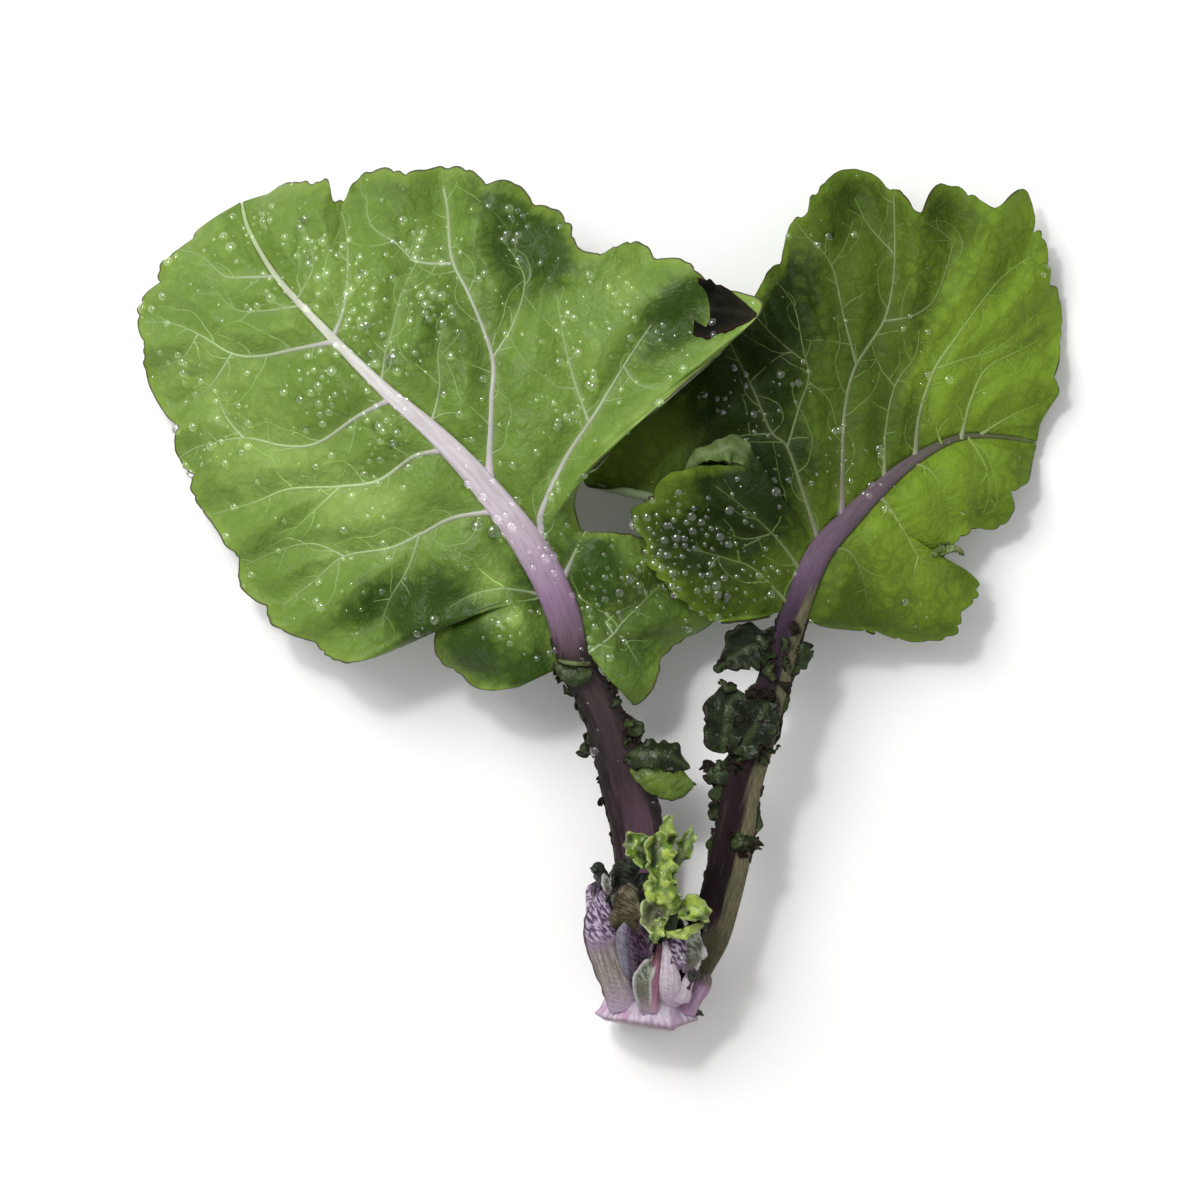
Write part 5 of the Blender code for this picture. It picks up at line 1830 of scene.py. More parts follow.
@dataclass
class Leaf:
    """A leaf with its petiole: blade, rib, veins, leaflets and dew."""

    node: str
    plan: LeafPlan
    upper: BladeFinish
    under: BladeFinish
    rib: RibFinish
    vein: RibFinish
    veins: VeinNet
    # columns of points from the rib to a margin
    columns: int = 58
    small: list[SmallLeaf] = field(default_factory=list)
    small_finishes: list[BladeFinish] = field(default_factory=list)
    wings: list[PetioleWing] = field(default_factory=list)
    dew: list[tuple] = field(default_factory=list)
    drops: list[tuple] = field(default_factory=list)
    # middle in the picture, radius in picture points, and -1 for dark to 1 for pale: the tissue's own tone,
    # painted shade and painted light
    tones: list[tuple] = field(default_factory=list)
    sprinkle: float = 0.05
    flank: Side | None = None
    thickness: float = 0.45
    # how far a main vein's pale halo reaches
    halo: float = 0.7
    dew_seed: int = 4
    surface: LeafSurface = field(init=False)
    lines: KDTree = field(init=False)
    main_lines: KDTree = field(init=False)
    main_widths: np.ndarray = field(init=False)

    def __post_init__(self) -> None:
        """Measures the leaf."""
        self.surface = LeafSurface(self.plan)

    def find_veins(self, halves: list[np.ndarray]) -> None:
        """Traces the veins, and keeps them for measuring distances.

        Args:
            halves: the upper faces of the blade's parts.
        """
        mains = len(self.veins.paths)
        self.veins.trace(ray_surface(halves), self.surface.rib(self.surface.places)[0])
        self.main_widths = np.concatenate([line[:, 2] for line in self.veins.lines[:mains]])
        self.main_lines = self.flat_tree(np.concatenate(self.veins.lines[:mains]))
        self.lines = self.flat_tree(np.concatenate(self.veins.lines))

    @staticmethod
    def flat_tree(points: np.ndarray) -> KDTree:
        """The points' x and y, ready for measuring distances.

        Args:
            points: the points, one a row.

        Returns:
            The tree.
        """
        tree = KDTree(len(points))
        for i, point in enumerate(points):
            tree.insert((float(point[0]), float(point[1]), 0.0), i)
        tree.balance()
        return tree

    def relief(self, points: np.ndarray, from_rib: np.ndarray) -> tuple[np.ndarray, np.ndarray]:
        """How much the tissue swells between the veins, and how near a main vein is.

        Args:
            points: the blade's points.
            from_rib: each point's distance from the rib.

        Returns:
            The height to add, and the closeness to a main vein from 0 to 1.
        """
        flat = points.reshape(-1, 3)
        from_line = np.empty(len(flat))
        from_main = np.empty(len(flat))
        near = np.empty(len(flat))
        for i, (x, y) in enumerate(flat[:, :2].tolist()):
            from_line[i] = self.lines.find((x, y, 0.0))[2]
            _, index, from_main[i] = self.main_lines.find((x, y, 0.0))
            strength = min(1.0, self.main_widths[index] / 0.35)
            near[i] = strength * math.exp(-((from_main[i] / self.halo) ** 2))
        plan = self.plan
        shape = points.shape[:2]
        main = np.minimum(from_main.reshape(shape), from_rib)
        line = np.minimum(from_line.reshape(shape), from_rib)
        swell = plan.pillow * (1.0 - np.exp(-((main / PILLOW_SPAN) ** 2)))
        swell = swell + plan.small_pillow * (1.0 - np.exp(-((line / SMALL_PILLOW_SPAN) ** 2)))
        broad = waver(points, 9.0, plan.seed) + 0.5 * waver(points, 3.4, plan.seed + 7.0)
        calm = np.minimum(1.0, from_rib / CALM_SPAN)
        return swell * calm + plan.ripple * broad * calm, near.reshape(shape)

    @staticmethod
    def spots(points: np.ndarray, spots: list[tuple]) -> list[np.ndarray]:
        """The spots of the picture.

        Args:
            points: the points.
            spots: each spot's place in the picture, its radius and its strength.

        Returns:
            How strongly each spot acts on each point.
        """
        found = []
        for px, py, radius, strength in spots:
            x, y = picture_point(px, py)
            away = np.hypot(points[..., 0] - x, points[..., 1] - y) / (radius * PICTURE_MM)
            found.append(strength * np.exp(-(away**2)))
        return found

    def dew_marks(self, points: np.ndarray) -> np.ndarray:
        """How thick the dew lies at each point.

        Args:
            points: the points.

        Returns:
            One value for each point.
        """
        marks = np.full(points.shape[:-1], self.sprinkle)
        for spot in self.spots(points, self.dew):
            marks = np.maximum(marks, spot)
        return marks

    def tone_marks(self, points: np.ndarray) -> np.ndarray:
        """How dark or pale the tissue is at each point, from -1 to 1, with painted shade and painted light.

        Args:
            points: the points.

        Returns:
            One value for each point.
        """
        marks = np.zeros(points.shape[:-1])
        # painted shade under each large drop, darkening the tissue that it sits on
        shade_under_drops = [(px, py, 4.4 * radius, -0.7) for px, py, radius in self.drops]
        for spot in self.spots(points, self.tones + shade_under_drops):
            marks = marks + spot
        return np.clip(marks, -1.0, 1.0)

    def blade_grids(self) -> list[Grid]:
        """The flaps of the blade, swollen between their veins.

        Returns:
            Their upper faces.
        """
        flaps = [(flap.side, *self.surface.flap(flap, self.columns)) for flap in self.plan.flaps]
        self.find_veins([points for _, points, _, _ in flaps])
        grids = []
        for side, points, from_rib, from_margin in flaps:
            rise, near = self.relief(points, from_rib)
            height = np.maximum(points[..., 2] + rise, LOWEST_UPPER_FACE)
            over = np.maximum(0.0, height - HIGH_UPPER_FACE)
            points[..., 2] = height - over + 0.5 * np.tanh(over / 0.5)
            edge = np.clip(1.0 - from_margin / EDGE_SPAN, 0.0, 1.0)
            marks = {"edge": edge, "vein": near, "dew": self.dew_marks(points)}
            marks["tone"] = self.tone_marks(points)
            grid = Grid(points, marks, self.thickness * (1.0 - 0.4 * edge))
            grids.append(grid.mirrored() if side is Side.LEFT else grid)
        return grids

    def leaflets(self, blades: BVHTree, effects: Effects) -> bpy.types.Object:
        """The leaflets, scraps and wings along the petiole.

        Args:
            blades: the blade, for those that lie on it.
            effects: the shared shader groups.

        Returns:
            All of them as one mesh.
        """
        grids = [leaf.grid() for leaf in self.small] + [wing.grid(self.surface) for wing in self.wings]
        for leaf, grid in zip(self.small, grids):
            if leaf.laid:
                self.lay(grid.points, blades)
            if leaf.seamless:
                grid.marks["tone"] = self.tone_marks(grid.points)
        return sheets(f"{self.node}_leaflets", grids, doubled(self.small_finishes, effects))

    def build(self, shop: Workshop) -> list[bpy.types.Object]:
        """Builds and dresses the leaf.

        Args:
            shop: the shared trees and effects.

        Returns:
            Its pieces.
        """
        grids = self.blade_grids()
        finishes = [finish.material(shop.effects) for finish in (self.upper, self.under)]
        blade = sheets(f"{self.node}_blade", grids, finishes)
        tube = RibTube(self.surface, flank=self.flank)
        rib = tube.build(f"{self.node}_rib")
        rib.data.materials.append(self.rib.material(shop.effects))
        top = tube.points()[0][:, : tube.sides // 2 + 1]
        surfaces = [grid.points for grid in grids]
        blades = ray_surface(surfaces)
        laid = self.veins.mesh(f"{self.node}_veins", blades, ray_surface([top[:, ::-1]]), self.tone_marks)
        veins = grown(laid, shop.veins, {"Sides": 7, "Finish": self.vein.material(shop.effects)})
        drops = self.water_drops([*surfaces, top], shop)
        leaflets = self.leaflets(blades, shop.effects)
        return [fit(piece, self.node) for piece in (blade, rib, veins, drops, leaflets)]

    @staticmethod
    def lay(points: np.ndarray, blades: BVHTree) -> None:
        """Moves points up by the height of the blade beneath each.

        Args:
            points: the points, which are moved.
            blades: the blade.
        """
        for point in points.reshape(-1, 3):
            hit = ray_down(blades, point[0], point[1])
            if hit is None:
                hit = blades.find_nearest(Vector((point[0], point[1], SEARCH_HEIGHT)))[0]
            point[2] += hit.z

    def water_drops(self, layers: list[np.ndarray], shop: Workshop) -> bpy.types.Object:
        """The dew on the blade and on the rib's top.

        Args:
            layers: the points of the upper faces that it lies on.
            shop: the shared trees and the water.

        Returns:
            The drops as one mesh.
        """
        points, faces = stitched(layers)
        large = np.zeros(len(points))
        for px, py, radius in self.drops:
            x, y = picture_point(px, py)
            away = np.hypot(points[:, 0] - x, points[:, 1] - y)
            close = np.nonzero(away < away.min() + 0.3)[0]
            large[close[points[close, 2].argmax()]] = radius * MM
        marks = {"dew": self.dew_marks(points), "drop": large}
        carrier = mesh_object(f"{self.node}_dew", points, faces, marks)
        made = grown(carrier, shop.dew, {"Seed": self.dew_seed, "Finish": shop.water})
        made.visible_shadow = False
        return made


@dataclass
class Heart:
    """The young leaves packed round the growing point, on their solid middle."""

    # y, middle x, middle z, half width and half height of the middle
    core: list[Point]
    leaves: list[SmallLeaf]
    finishes: list[HeartFinish]
    # the finish number of the middle
    core_finish: int = 7
    rings: int = 60
    sides: int = 64

    def build(self, shop: Workshop) -> list[bpy.types.Object]:
        """Builds and dresses the heart.

        Args:
            shop: the shared trees and effects.

        Returns:
            Its pieces.
        """
        dressed = doubled(self.finishes, shop.effects)
        young = sheets("heart_leaves", [leaf.grid() for leaf in self.leaves], dressed)
        middle = self.middle()
        middle.data.materials.append(dressed[2 * self.core_finish])
        return [fit(piece, "heart") for piece in (young, middle)]

    def middle(self) -> bpy.types.Object:
        """The folded middle that the leaves grow from.

        Returns:
            The object.
        """
        found = spline(self.core, np.linspace(0.0, len(self.core) - 1.0, self.rings))
        y, middle_x, middle_z, half_width, half_height = (column[:, None] for column in found.T)
        angle = angles(self.sides)[None, :]
        fold = 1.0 + 0.07 * np.sin(5.0 * angle + 0.2 * y) + 0.03 * np.sin(13.0 * angle - 0.5 * y)
        # the rings run anticlockwise seen from the cut, so that the faces look outwards
        x = middle_x - 0.93 * half_width * fold * np.cos(angle)
        z = middle_z + 0.93 * half_height * fold * np.sin(angle)
        points = np.stack([x, y + 0.0 * x, z], axis=-1) + PLACE
        marks = {"along": np.linspace(0.0, 1.0, self.rings)[:, None], "gone": y, "across": 4.0 * angle}
        return mesh_object("heart_middle", points, tube_faces(self.rings, self.sides), marks)


@dataclass
class Sprig:
    """The frilled leaf: a thin rib, and the curls of its blade."""

    plan: LeafPlan
    curls: list[SmallLeaf]
    finishes: list[BladeFinish]
    rib: RibFinish

    def build(self, shop: Workshop) -> list[bpy.types.Object]:
        """Builds and dresses the leaf.

        Args:
            shop: the shared trees and effects.

        Returns:
            Its pieces.
        """
        dressed = doubled(self.finishes, shop.effects)
        curls = sheets("frill_leaf_curls", [leaf.grid() for leaf in self.curls], dressed)
        rib = RibTube(LeafSurface(self.plan), rings=90, sides=20).build("frill_leaf_rib")
        rib.data.materials.append(self.rib.material(shop.effects))
        return [fit(piece, "frill_leaf") for piece in (curls, rib)]


@dataclass
class Stump:
    """The short stem with its slanted cut face and browned lip."""

    # share of the length, middle x, middle z, half width and half height, from the cut forwards
    rings: list[Point]
    finish: CutFinish
    # how far back the cut lies at shares of the width from left to right
    cut: tuple[Point, ...] = ((0.0, -45.6), (0.08, -46.1), (0.4, -46.75), (0.78, -47.4), (0.84, -46.9),
                              (1.0, -46.3))
    tilt: float = 0.08
    front: float = -43.9
    # how far the skin runs on under the leaves
    reach: float = 1.6
    sides: int = 110
    skin_rows: int = 30
    face_rows: int = 22

    def ring(self, forward: float, shrink: float) -> np.ndarray:
        """One ring of points.

        Args:
            forward: share of the length, from the cut; beyond 1 it runs on under the leaves.
            shrink: the ring's size, 1 at the skin and 0 at its middle.

        Returns:
            The points, from the left over the top to the right.
        """
        shares = [row[0] for row in self.rings]
        place = np.interp(min(forward, 1.0), shares, range(len(shares)))
        _, middle_x, middle_z, half_width, half_height = spline(self.rings, np.array([place]))[0]
        angle = angles(self.sides)
        turned = math.pi - angle
        lobe = 1.0 + 0.05 * np.sin(3.0 * turned + 0.6) + 0.03 * np.sin(7.0 * turned)
        flute = 1.0 - 0.025 * np.abs(np.sin(6.0 * turned + 1.4 * forward)) * min(1.0, 3.0 * forward)
        x = middle_x + shrink * half_width * lobe * flute * np.cos(turned)
        z = np.maximum(0.0, middle_z + shrink * half_height * lobe * flute * np.sin(turned))
        share = (x - middle_x + half_width) / (2.0 * half_width)
        cut = np.interp(share, *zip(*self.cut)) + self.tilt * (z - middle_z)
        y = cut + min(forward, 1.0) * (self.front - cut) + max(0.0, forward - 1.0)
        return np.stack([x, y, z], axis=1) + PLACE

    def build(self, shop: Workshop) -> list[bpy.types.Object]:
        """Builds and dresses the stump.

        Args:
            shop: the shared trees and effects.

        Returns:
            Its pieces.
        """
        layers = []
        # each ring's face, middle, lip and gone marks
        notes = []
        for share in np.linspace(0.03, 1.0, self.face_rows, endpoint=False):
            ring = self.ring(0.0, share)
            bumps = waver(ring * (1.0, 0.3, 1.0), 0.7, 2.0) + waver(ring, 2.2, 5.0)
            ring[:, 1] += 0.07 * bumps + 0.18 * (1.0 - share) ** 2
            layers.append(ring)
            notes.append((1.0, share, float(ease(np.array((share - 0.8) / 0.2))), 0.0))
        last = 1.0 + self.reach
        for forward in np.concatenate([[0.0, 0.01, 0.04, 0.09], np.linspace(0.14, last, self.skin_rows)]):
            shrink = 1.0 - 0.1 * max(0.0, forward - 1.0)
            layers.append(self.ring(float(forward), shrink - 0.02 * (forward == 0.0)))
            notes.append((0.0, 1.0, max(0.0, 1.0 - forward / 0.25), 3.0 * forward))
        names = ("face", "middle", "lip", "gone")
        marks = {mark: row[:, None] for mark, row in zip(names, np.array(notes).T)}
        marks["across"] = 3.0 * angles(self.sides)
        stump = mesh_object("stump_cut", np.stack(layers), tube_faces(len(layers), self.sides), marks)
        stump.data.materials.append(self.finish.material(shop.effects))
        return [fit(stump, "stump")]


@dataclass
class Studio:
    """A plain pale floor, soft light from the upper left, and a camera that looks straight down."""

    floor: Colour = (0.95, 0.95, 0.94)
    sky: float = 0.58
    # watts, width and place of each lamp: the broad one, and a small one for the glints on the dew
    lamps: tuple = ((2.1, 0.34, (-0.25, 0.28, 0.45)), (0.8, 0.06, (-0.16, 0.22, 0.5)))
    camera_height: float = 0.75
    lens: float = 202.0

    def build(self) -> None:
        """Sets up the floor, the light and the camera."""
        scene = bpy.context.scene
        corners = [(-0.6, -0.6, 0.0), (0.6, -0.6, 0.0), (0.6, 0.6, 0.0), (-0.6, 0.6, 0.0)]
        mesh = bpy.data.meshes.new("floor")
        mesh.from_pydata(corners, [], [(0, 1, 2, 3)])
        floor = bpy.data.objects.new("floor", mesh)
        scene.collection.objects.link(floor)
        paint = Paint("pale floor")
        feed(paint.shader, {"Base Color": rgba(self.floor), "Roughness": 0.8})
        mesh.materials.append(paint.material)
        scene.world = bpy.data.worlds.new("studio")
        scene.world.use_nodes = True
        sky = {"Color": rgba((1.0, 1.0, 1.0)), "Strength": self.sky}
        feed(scene.world.node_tree.nodes["Background"], sky)
        for watts, width, place in self.lamps:
            lamp = bpy.data.lights.new("lamp", "AREA")
            lamp.energy = watts
            lamp.size = width
            key = bpy.data.objects.new("lamp", lamp)
            key.location = place
            key.rotation_euler = (-Vector(place)).to_track_quat("-Z", "Y").to_euler()
            scene.collection.objects.link(key)
        lens = bpy.data.cameras.new("camera")
        lens.lens = self.lens
        lens.clip_start = 0.01
        camera = bpy.data.objects.new("camera", lens)
        camera.location = (0.0, 0.0, self.camera_height)
        scene.collection.objects.link(camera)
        scene.camera = camera
        scene.view_settings.view_transform = "Standard"


LEFT_SCRAPS = [
    (578.5, 811, 9.6, 1.5), (580, 815, 9.4, 1.3), (577.5, 813.5, 9.2, 0.9), (569, 785, 11.4, 1.4),
    (572.5, 790, 11.2, 1.5), (576, 796, 10.6, 1), (597.5, 800, 10.8, 1.5), (601, 804, 10.6, 1.4),
    (603, 809, 10.4, 1.3), (599, 811, 10.8, 1.2), (604, 815, 10.2, 1.4), (600, 818, 10.2, 1),
    (592, 788, 11.6, 1.5), (594, 793, 11.4, 1.3), (586, 828, 8.8, 0.8), (589, 838, 8.2, 0.9),
    (566, 781, 11.6, 1.3), (562, 779, 11.4, 1.2),
]
LEFT_SMALL = [
    # the leaflet at the right: its dark back, and the paler oval that shows below it
    SmallLeaf([(2.4, -16.4, 9.8, 1), (4.6, -16.6, 11.2, 1.8), (7.4, -16.8, 11.4, 1.8),
               (9.8, -18.2, 10.6, 0.8)], (0, 0.3, 1), cup=-30, ruffle_pitch=3, crinkle=0.4, teeth=0.4,
              tone=-0.7),
    SmallLeaf([(3.6, -17.6, 10.2, 1), (5.4, -18.8, 11, 1.9), (8, -19.8, 11, 2.1), (10.2, -20.2, 10.2, 1)],
              (0.1, -0.1, 1), cup=-20, ruffle_height=0.2, teeth=0.2, tone=0.75),
    SmallLeaf([(1.4, -15.4, 9.4, 1), (-1, -15.8, 9.4, 1.1), (-2.4, -16.2, 8.8, 0.6)], (0, 0.3, 1),
              crinkle=0.4, teeth=0.5, tone=-0.9),
    SmallLeaf([(2.2, -13.4, 10, 0.9), (3.4, -13.6, 10.6, 1.2), (4.4, -14.4, 11.2, 0.7)], (0.3, 0.2, 1),
              crinkle=0.4, teeth=0.5, tone=-0.8),
    # the dark hollow behind the lobe's rolled tip, the purple underside of the fold and painted shade in one
    # near-black sheet that darkens towards its root, and the rolled edge in front of it
    SmallLeaf([(10.3, 32.1, 0.25, 3.2), (12.1, 31.9, 0.3, 3), (13.8, 31.7, 0.35, 2.2), (15.4, 31.4, 0.3, 1.2),
               (16.8, 31.2, 0.2, 0.2)], finish=1, laid=True, form=Form.OPEN, cup=5, ruffle_height=0.1,
              crinkle=0.14, teeth=0.15, tone=-0.5, tone_swing=0.8),
    SmallLeaf([(6.8, 31.4, -0.4, 2.4), (8.4, 31.7, -0.1, 2.9), (10, 31.9, 0.3, 3.1), (11, 32.1, 0.5, 3),
               (11.8, 32.2, 0.45, 2.2)], finish=3, laid=True, seamless=True, cup=-9, ruffle_height=0,
              crinkle=0.05, teeth=0.1),
    # the flap over the petiole, and its pale upper edge
    SmallLeaf([(-4.9, -6.9, 13.2, 0.4), (-3.6, -7.8, 14, 1.2), (-2.2, -8, 14.1, 1.3),
               (-1.1, -7.4, 13.6, 0.5)], cup=-30, ruffle_height=0.3, crinkle=0.3, tone=0.1),
    SmallLeaf([(-4.7, -6.3, 13.6, 0.15), (-3.6, -6.6, 14.5, 0.3), (-2.4, -6.7, 14.6, 0.25),
               (-1.3, -6.8, 13.8, 0.1)], (0, -0.3, 1), finish=2, cup=-40, ruffle_height=0.15, tone=-0.4),
]


def left_leaf() -> Leaf:
    """The large left leaf with its leaflets, folds and dew.

    Returns:
        The leaf, not yet built.
    """
    return Leaf(
        node="leaf_left", plan=LEFT_PLAN, upper=LEFT_UPPER, under=UNDERSIDE, rib=LEFT_RIB, vein=LEFT_VEIN,
        veins=VeinNet(LEFT_VEINS, seed=5), small=LEFT_SMALL + crumbs(LEFT_SCRAPS, 3, LEFT_PLAN),
        small_finishes=[DARK_LEAFLET, PURPLE_FOLD_AND_SHADE, PALE_CURL, LEFT_UPPER],
        wings=[
            PetioleWing(Side.LEFT, 4.3, 7.6, seed=2), PetioleWing(Side.RIGHT, 4.4, 7, seed=6),
            PetioleWing(Side.LEFT, 2.2, 4.2, width=0.5, finish=1, seed=9),
            PetioleWing(Side.RIGHT, 2.4, 4.2, width=0.5, finish=1, seed=12),
        ],
        dew=LEFT_DEW, drops=LEFT_DROPS, tones=LEFT_TONES_AND_LIGHT, sprinkle=0.12,
    )


RIGHT_SCRAPS = [
    (640, 830, 9.4, 1.2), (638, 834, 9.2, 1.3), (641.5, 838, 9.4, 1.4), (637.5, 843, 9, 1.3),
    (641, 847, 9, 1.2), (638.5, 851, 8.8, 1), (645, 853, 9.8, 1.6), (649, 855, 10.4, 1.7),
    (653, 857, 10.4, 1.7), (656, 855, 9.8, 1.4), (651, 860, 10, 1.3), (643, 827, 10, 1.4),
    (635, 823, 9.6, 1.6), (640, 823, 10.2, 1.9), (646, 824, 10.6, 1.9), (650, 819, 11, 1.8),
    (656, 812, 11.6, 2), (660, 807, 11.8, 2), (663, 813, 11.4, 1.8), (659, 819, 11.2, 1.6),
    (657, 799, 12, 1.9), (663, 800, 11.8, 1.7), (655, 791, 12, 1.9), (661, 790, 12.2, 1.9),
    (668, 788, 12, 1.6), (664, 780, 12.4, 1.9), (670, 776, 12.4, 1.8), (675, 770, 12.2, 1.5),
    (667, 768, 12.6, 1.8), (660, 765, 12.4, 1.9), (672, 762, 12.6, 1.5), (642, 779, 11.6, 2),
    (644, 786, 11.8, 2), (640, 870, 8.2, 0.8), (643.5, 878, 8.4, 0.8), (637, 887, 8, 0.7),
]
RIGHT_SMALL = [
    SmallLeaf([(18.6, -10.2, 11.6, 1), (17.6, -12.4, 12.6, 2), (16.2, -14.6, 12.6, 2.1),
               (14.6, -16.6, 11.6, 1)], ruffle_pitch=3.4, crinkle=0.4, teeth=0.4, tone=-0.9),
    # the round dark one at the left of the petiole
    SmallLeaf([(15.2, -9.6, 11.2, 1), (14, -11.4, 12, 2.1), (13.6, -13.8, 12, 2.2), (13.4, -16.6, 11.2, 1.2)],
              (-0.1, 0, 1), ruffle_pitch=3, crinkle=0.35, teeth=0.35, tone=-0.75),
    # the one under the blade
    SmallLeaf([(19.6, -4.8, 11, 1), (17.8, -4.6, 12, 2.2), (15.6, -5.2, 12, 2.4), (13.6, -6.6, 11.4, 0.9)],
              (0.1, 0.1, 1), ruffle_pitch=3.2, crinkle=0.45, teeth=0.4, tone=-0.7),
    SmallLeaf([(19.6, -7, 10.8, 1), (21.4, -6.2, 11.2, 1.5), (23, -5.2, 10.4, 0.9)], (0.2, 0, 1), crinkle=0.4,
              teeth=0.4, tone=-0.2),
    SmallLeaf([(15.6, -18.4, 9.8, 1), (13.4, -18.6, 10.6, 1.4), (11.6, -18.8, 10, 0.7)], (0, 0.2, 1),
              crinkle=0.4, teeth=0.5, tone=-0.6),
    SmallLeaf([(14.2, -22.6, 9.4, 0.8), (12.8, -23, 9.8, 1.1), (11.9, -23.8, 9.4, 0.6)], (-0.2, 0, 1),
              crinkle=0.4, teeth=0.5, tone=-1),
    SmallLeaf([(14, -26, 9.6, 0.8), (15.8, -26.4, 10.8, 1.2), (17.4, -26.8, 9.8, 0.7)], (0.1, 0, 1), cup=-40,
              crinkle=0.4, teeth=0.5, tone=-0.6),
    # the pale rolled margin beside the sinus
    SmallLeaf([(9.3, 14.2, 13.2, 0.35), (10.5, 15.9, 14.2, 0.8), (12.4, 16.5, 14.8, 1.1),
               (14.4, 16.9, 15, 1.7), (15.9, 15.9, 14.8, 1.1), (17.2, 14.7, 13.8, 0.6)], (-0.1, 0.2, 1),
              finish=2, cup=-28, ruffle_pitch=2.6, ruffle_height=0.3, crinkle=0.3, teeth=0.25, tone=-0.1,
              tone_swing=-0.9, rows=60),
    # the torn spot in the lower margin, pale tissue with a painted highlight
    SmallLeaf([(36.3, 5.2, 0.2, 0.3), (37.4, 5.8, 0.7, 0.6), (38.8, 6, 0.8, 0.5), (39.9, 5.5, 0.2, 0.2)],
              (0.1, 0.3, 1), finish=2, laid=True, cup=-40, ruffle_pitch=1.2, ruffle_height=0.4, crinkle=0.4,
              teeth=0.5, tone=0.8),
]


def right_leaf() -> Leaf:
    """The large right leaf with its leaflets, curled margin and dew.

    Returns:
        The leaf, not yet built.
    """
    return Leaf(
        node="leaf_right", plan=RIGHT_PLAN, upper=RIGHT_UPPER, under=UNDERSIDE, rib=RIGHT_RIB,
        vein=RIGHT_VEIN, veins=VeinNet(RIGHT_VEINS, seed=8),
        small=RIGHT_SMALL + crumbs(RIGHT_SCRAPS, 8), small_finishes=[DARK_LEAFLET, PURPLE_FOLD_AND_SHADE, PALE_CURL],
        wings=[
            PetioleWing(Side.LEFT, 2.2, 7.2, width=1, seed=3),
            PetioleWing(Side.RIGHT, 3, 4.2, width=0.7, seed=7),
            PetioleWing(Side.RIGHT, 5, 7, width=0.8, seed=15),
        ],
        dew=RIGHT_DEW, drops=RIGHT_DROPS, tones=RIGHT_TONES_AND_LIGHT, sprinkle=0.025, flank=Side.RIGHT,
        dew_seed=9,
    )


# what every curl of the frilled leaf has, with strong painted shade in the hollows of its folds and painted
# light on their crests
CURL = {
    "ruffle_pitch": 1.9, "ruffle_height": 0.6, "crinkle": 0.42, "teeth": 0.6, "thickness": 0.3,
    "rib_depth": 0.5, "rows": 44, "columns": 26, "fold_tone": 2,
}
FRILL_CURLS = [
    # the dark lobe at the left
    SmallLeaf([(6.6, -28, 16.4, 0.8), (5, -27.2, 17.2, 1.6), (3.6, -26.4, 17.4, 1.5),
               (2.3, -26.3, 16.8, 0.5)], (-0.2, 0.2, 1), cup=30, tone=-0.9, tone_swing=0.5, **CURL),
    SmallLeaf([(6.8, -27.2, 16.8, 0.7), (7.1, -25.4, 17.6, 1.1), (7.5, -23.3, 17.6, 0.5)], cup=-40, tone=-0.1,
              **CURL),
    SmallLeaf([(7, -31, 16.8, 1), (6.6, -29, 18, 1.7), (6.3, -26.8, 18.4, 1.7), (6.2, -24.9, 18, 0.6)],
              (0.2, 0, 1), cup=55, **CURL),
    # the sprig at the right
    SmallLeaf([(7.6, -29, 16.8, 0.5), (8.9, -27.4, 17.4, 0.8), (9.5, -25.8, 17.8, 0.9),
               (9.9, -24.4, 17.4, 0.3)], (0.2, 0, 1), cup=-35, tone=-0.2, **CURL),
    SmallLeaf([(7.8, -34, 16.4, 0.7), (7.3, -32.2, 17.8, 1.4), (6.6, -30.2, 18.4, 1.6),
               (7.4, -28.4, 18.2, 0.8)], (-0.1, 0, 1), cup=-35, tone=0.35, **CURL),
    SmallLeaf([(7.2, -31.6, 17.2, 0.8), (5.6, -31.2, 18, 1), (4.6, -30.6, 17.6, 0.4)], (-0.2, 0, 1), cup=30,
              tone=0.3, **CURL),
    # the brown lobe with its pale margin, and its bright tip
    SmallLeaf([(7.4, -32.4, 16.4, 0.9), (6, -33.4, 17, 1.5), (5.5, -34.6, 16.8, 1.2),
               (5.8, -35.6, 16.2, 0.6)], finish=1, cup=25, tone=-0.4, **CURL),
    SmallLeaf([(6.6, -34.2, 16.6, 0.6), (6.2, -35.6, 16.9, 0.9), (5.9, -37.2, 16.2, 0.4)], (0, -0.2, 1),
              cup=-40, tone=0.5, **CURL),
    # the cup at the right and its margin
    SmallLeaf([(8.4, -33.8, 16.4, 0.5), (9.5, -33.3, 17.4, 1.4), (10.7, -33.7, 18, 1.3),
               (11.8, -34.4, 17.4, 0.3)], (-0.1, 0.3, 1), cup=50, tone=0.3, **CURL),
    SmallLeaf([(6.8, -36, 16.2, 0.4), (8.2, -36.2, 17, 0.6), (9.7, -35.7, 17.2, 0.6), (11.2, -34.9, 17, 0.3)],
              (0, -0.2, 1), cup=-50, tone=0.8, **CURL),
]


def frill_leaf() -> Sprig:
    """The small yellow-green frilled leaf, as the curls that show."""
    return Sprig(plan=FRILL_PLAN, curls=FRILL_CURLS, finishes=[FRILL, BROWN_CURL], rib=FRILL_RIB)


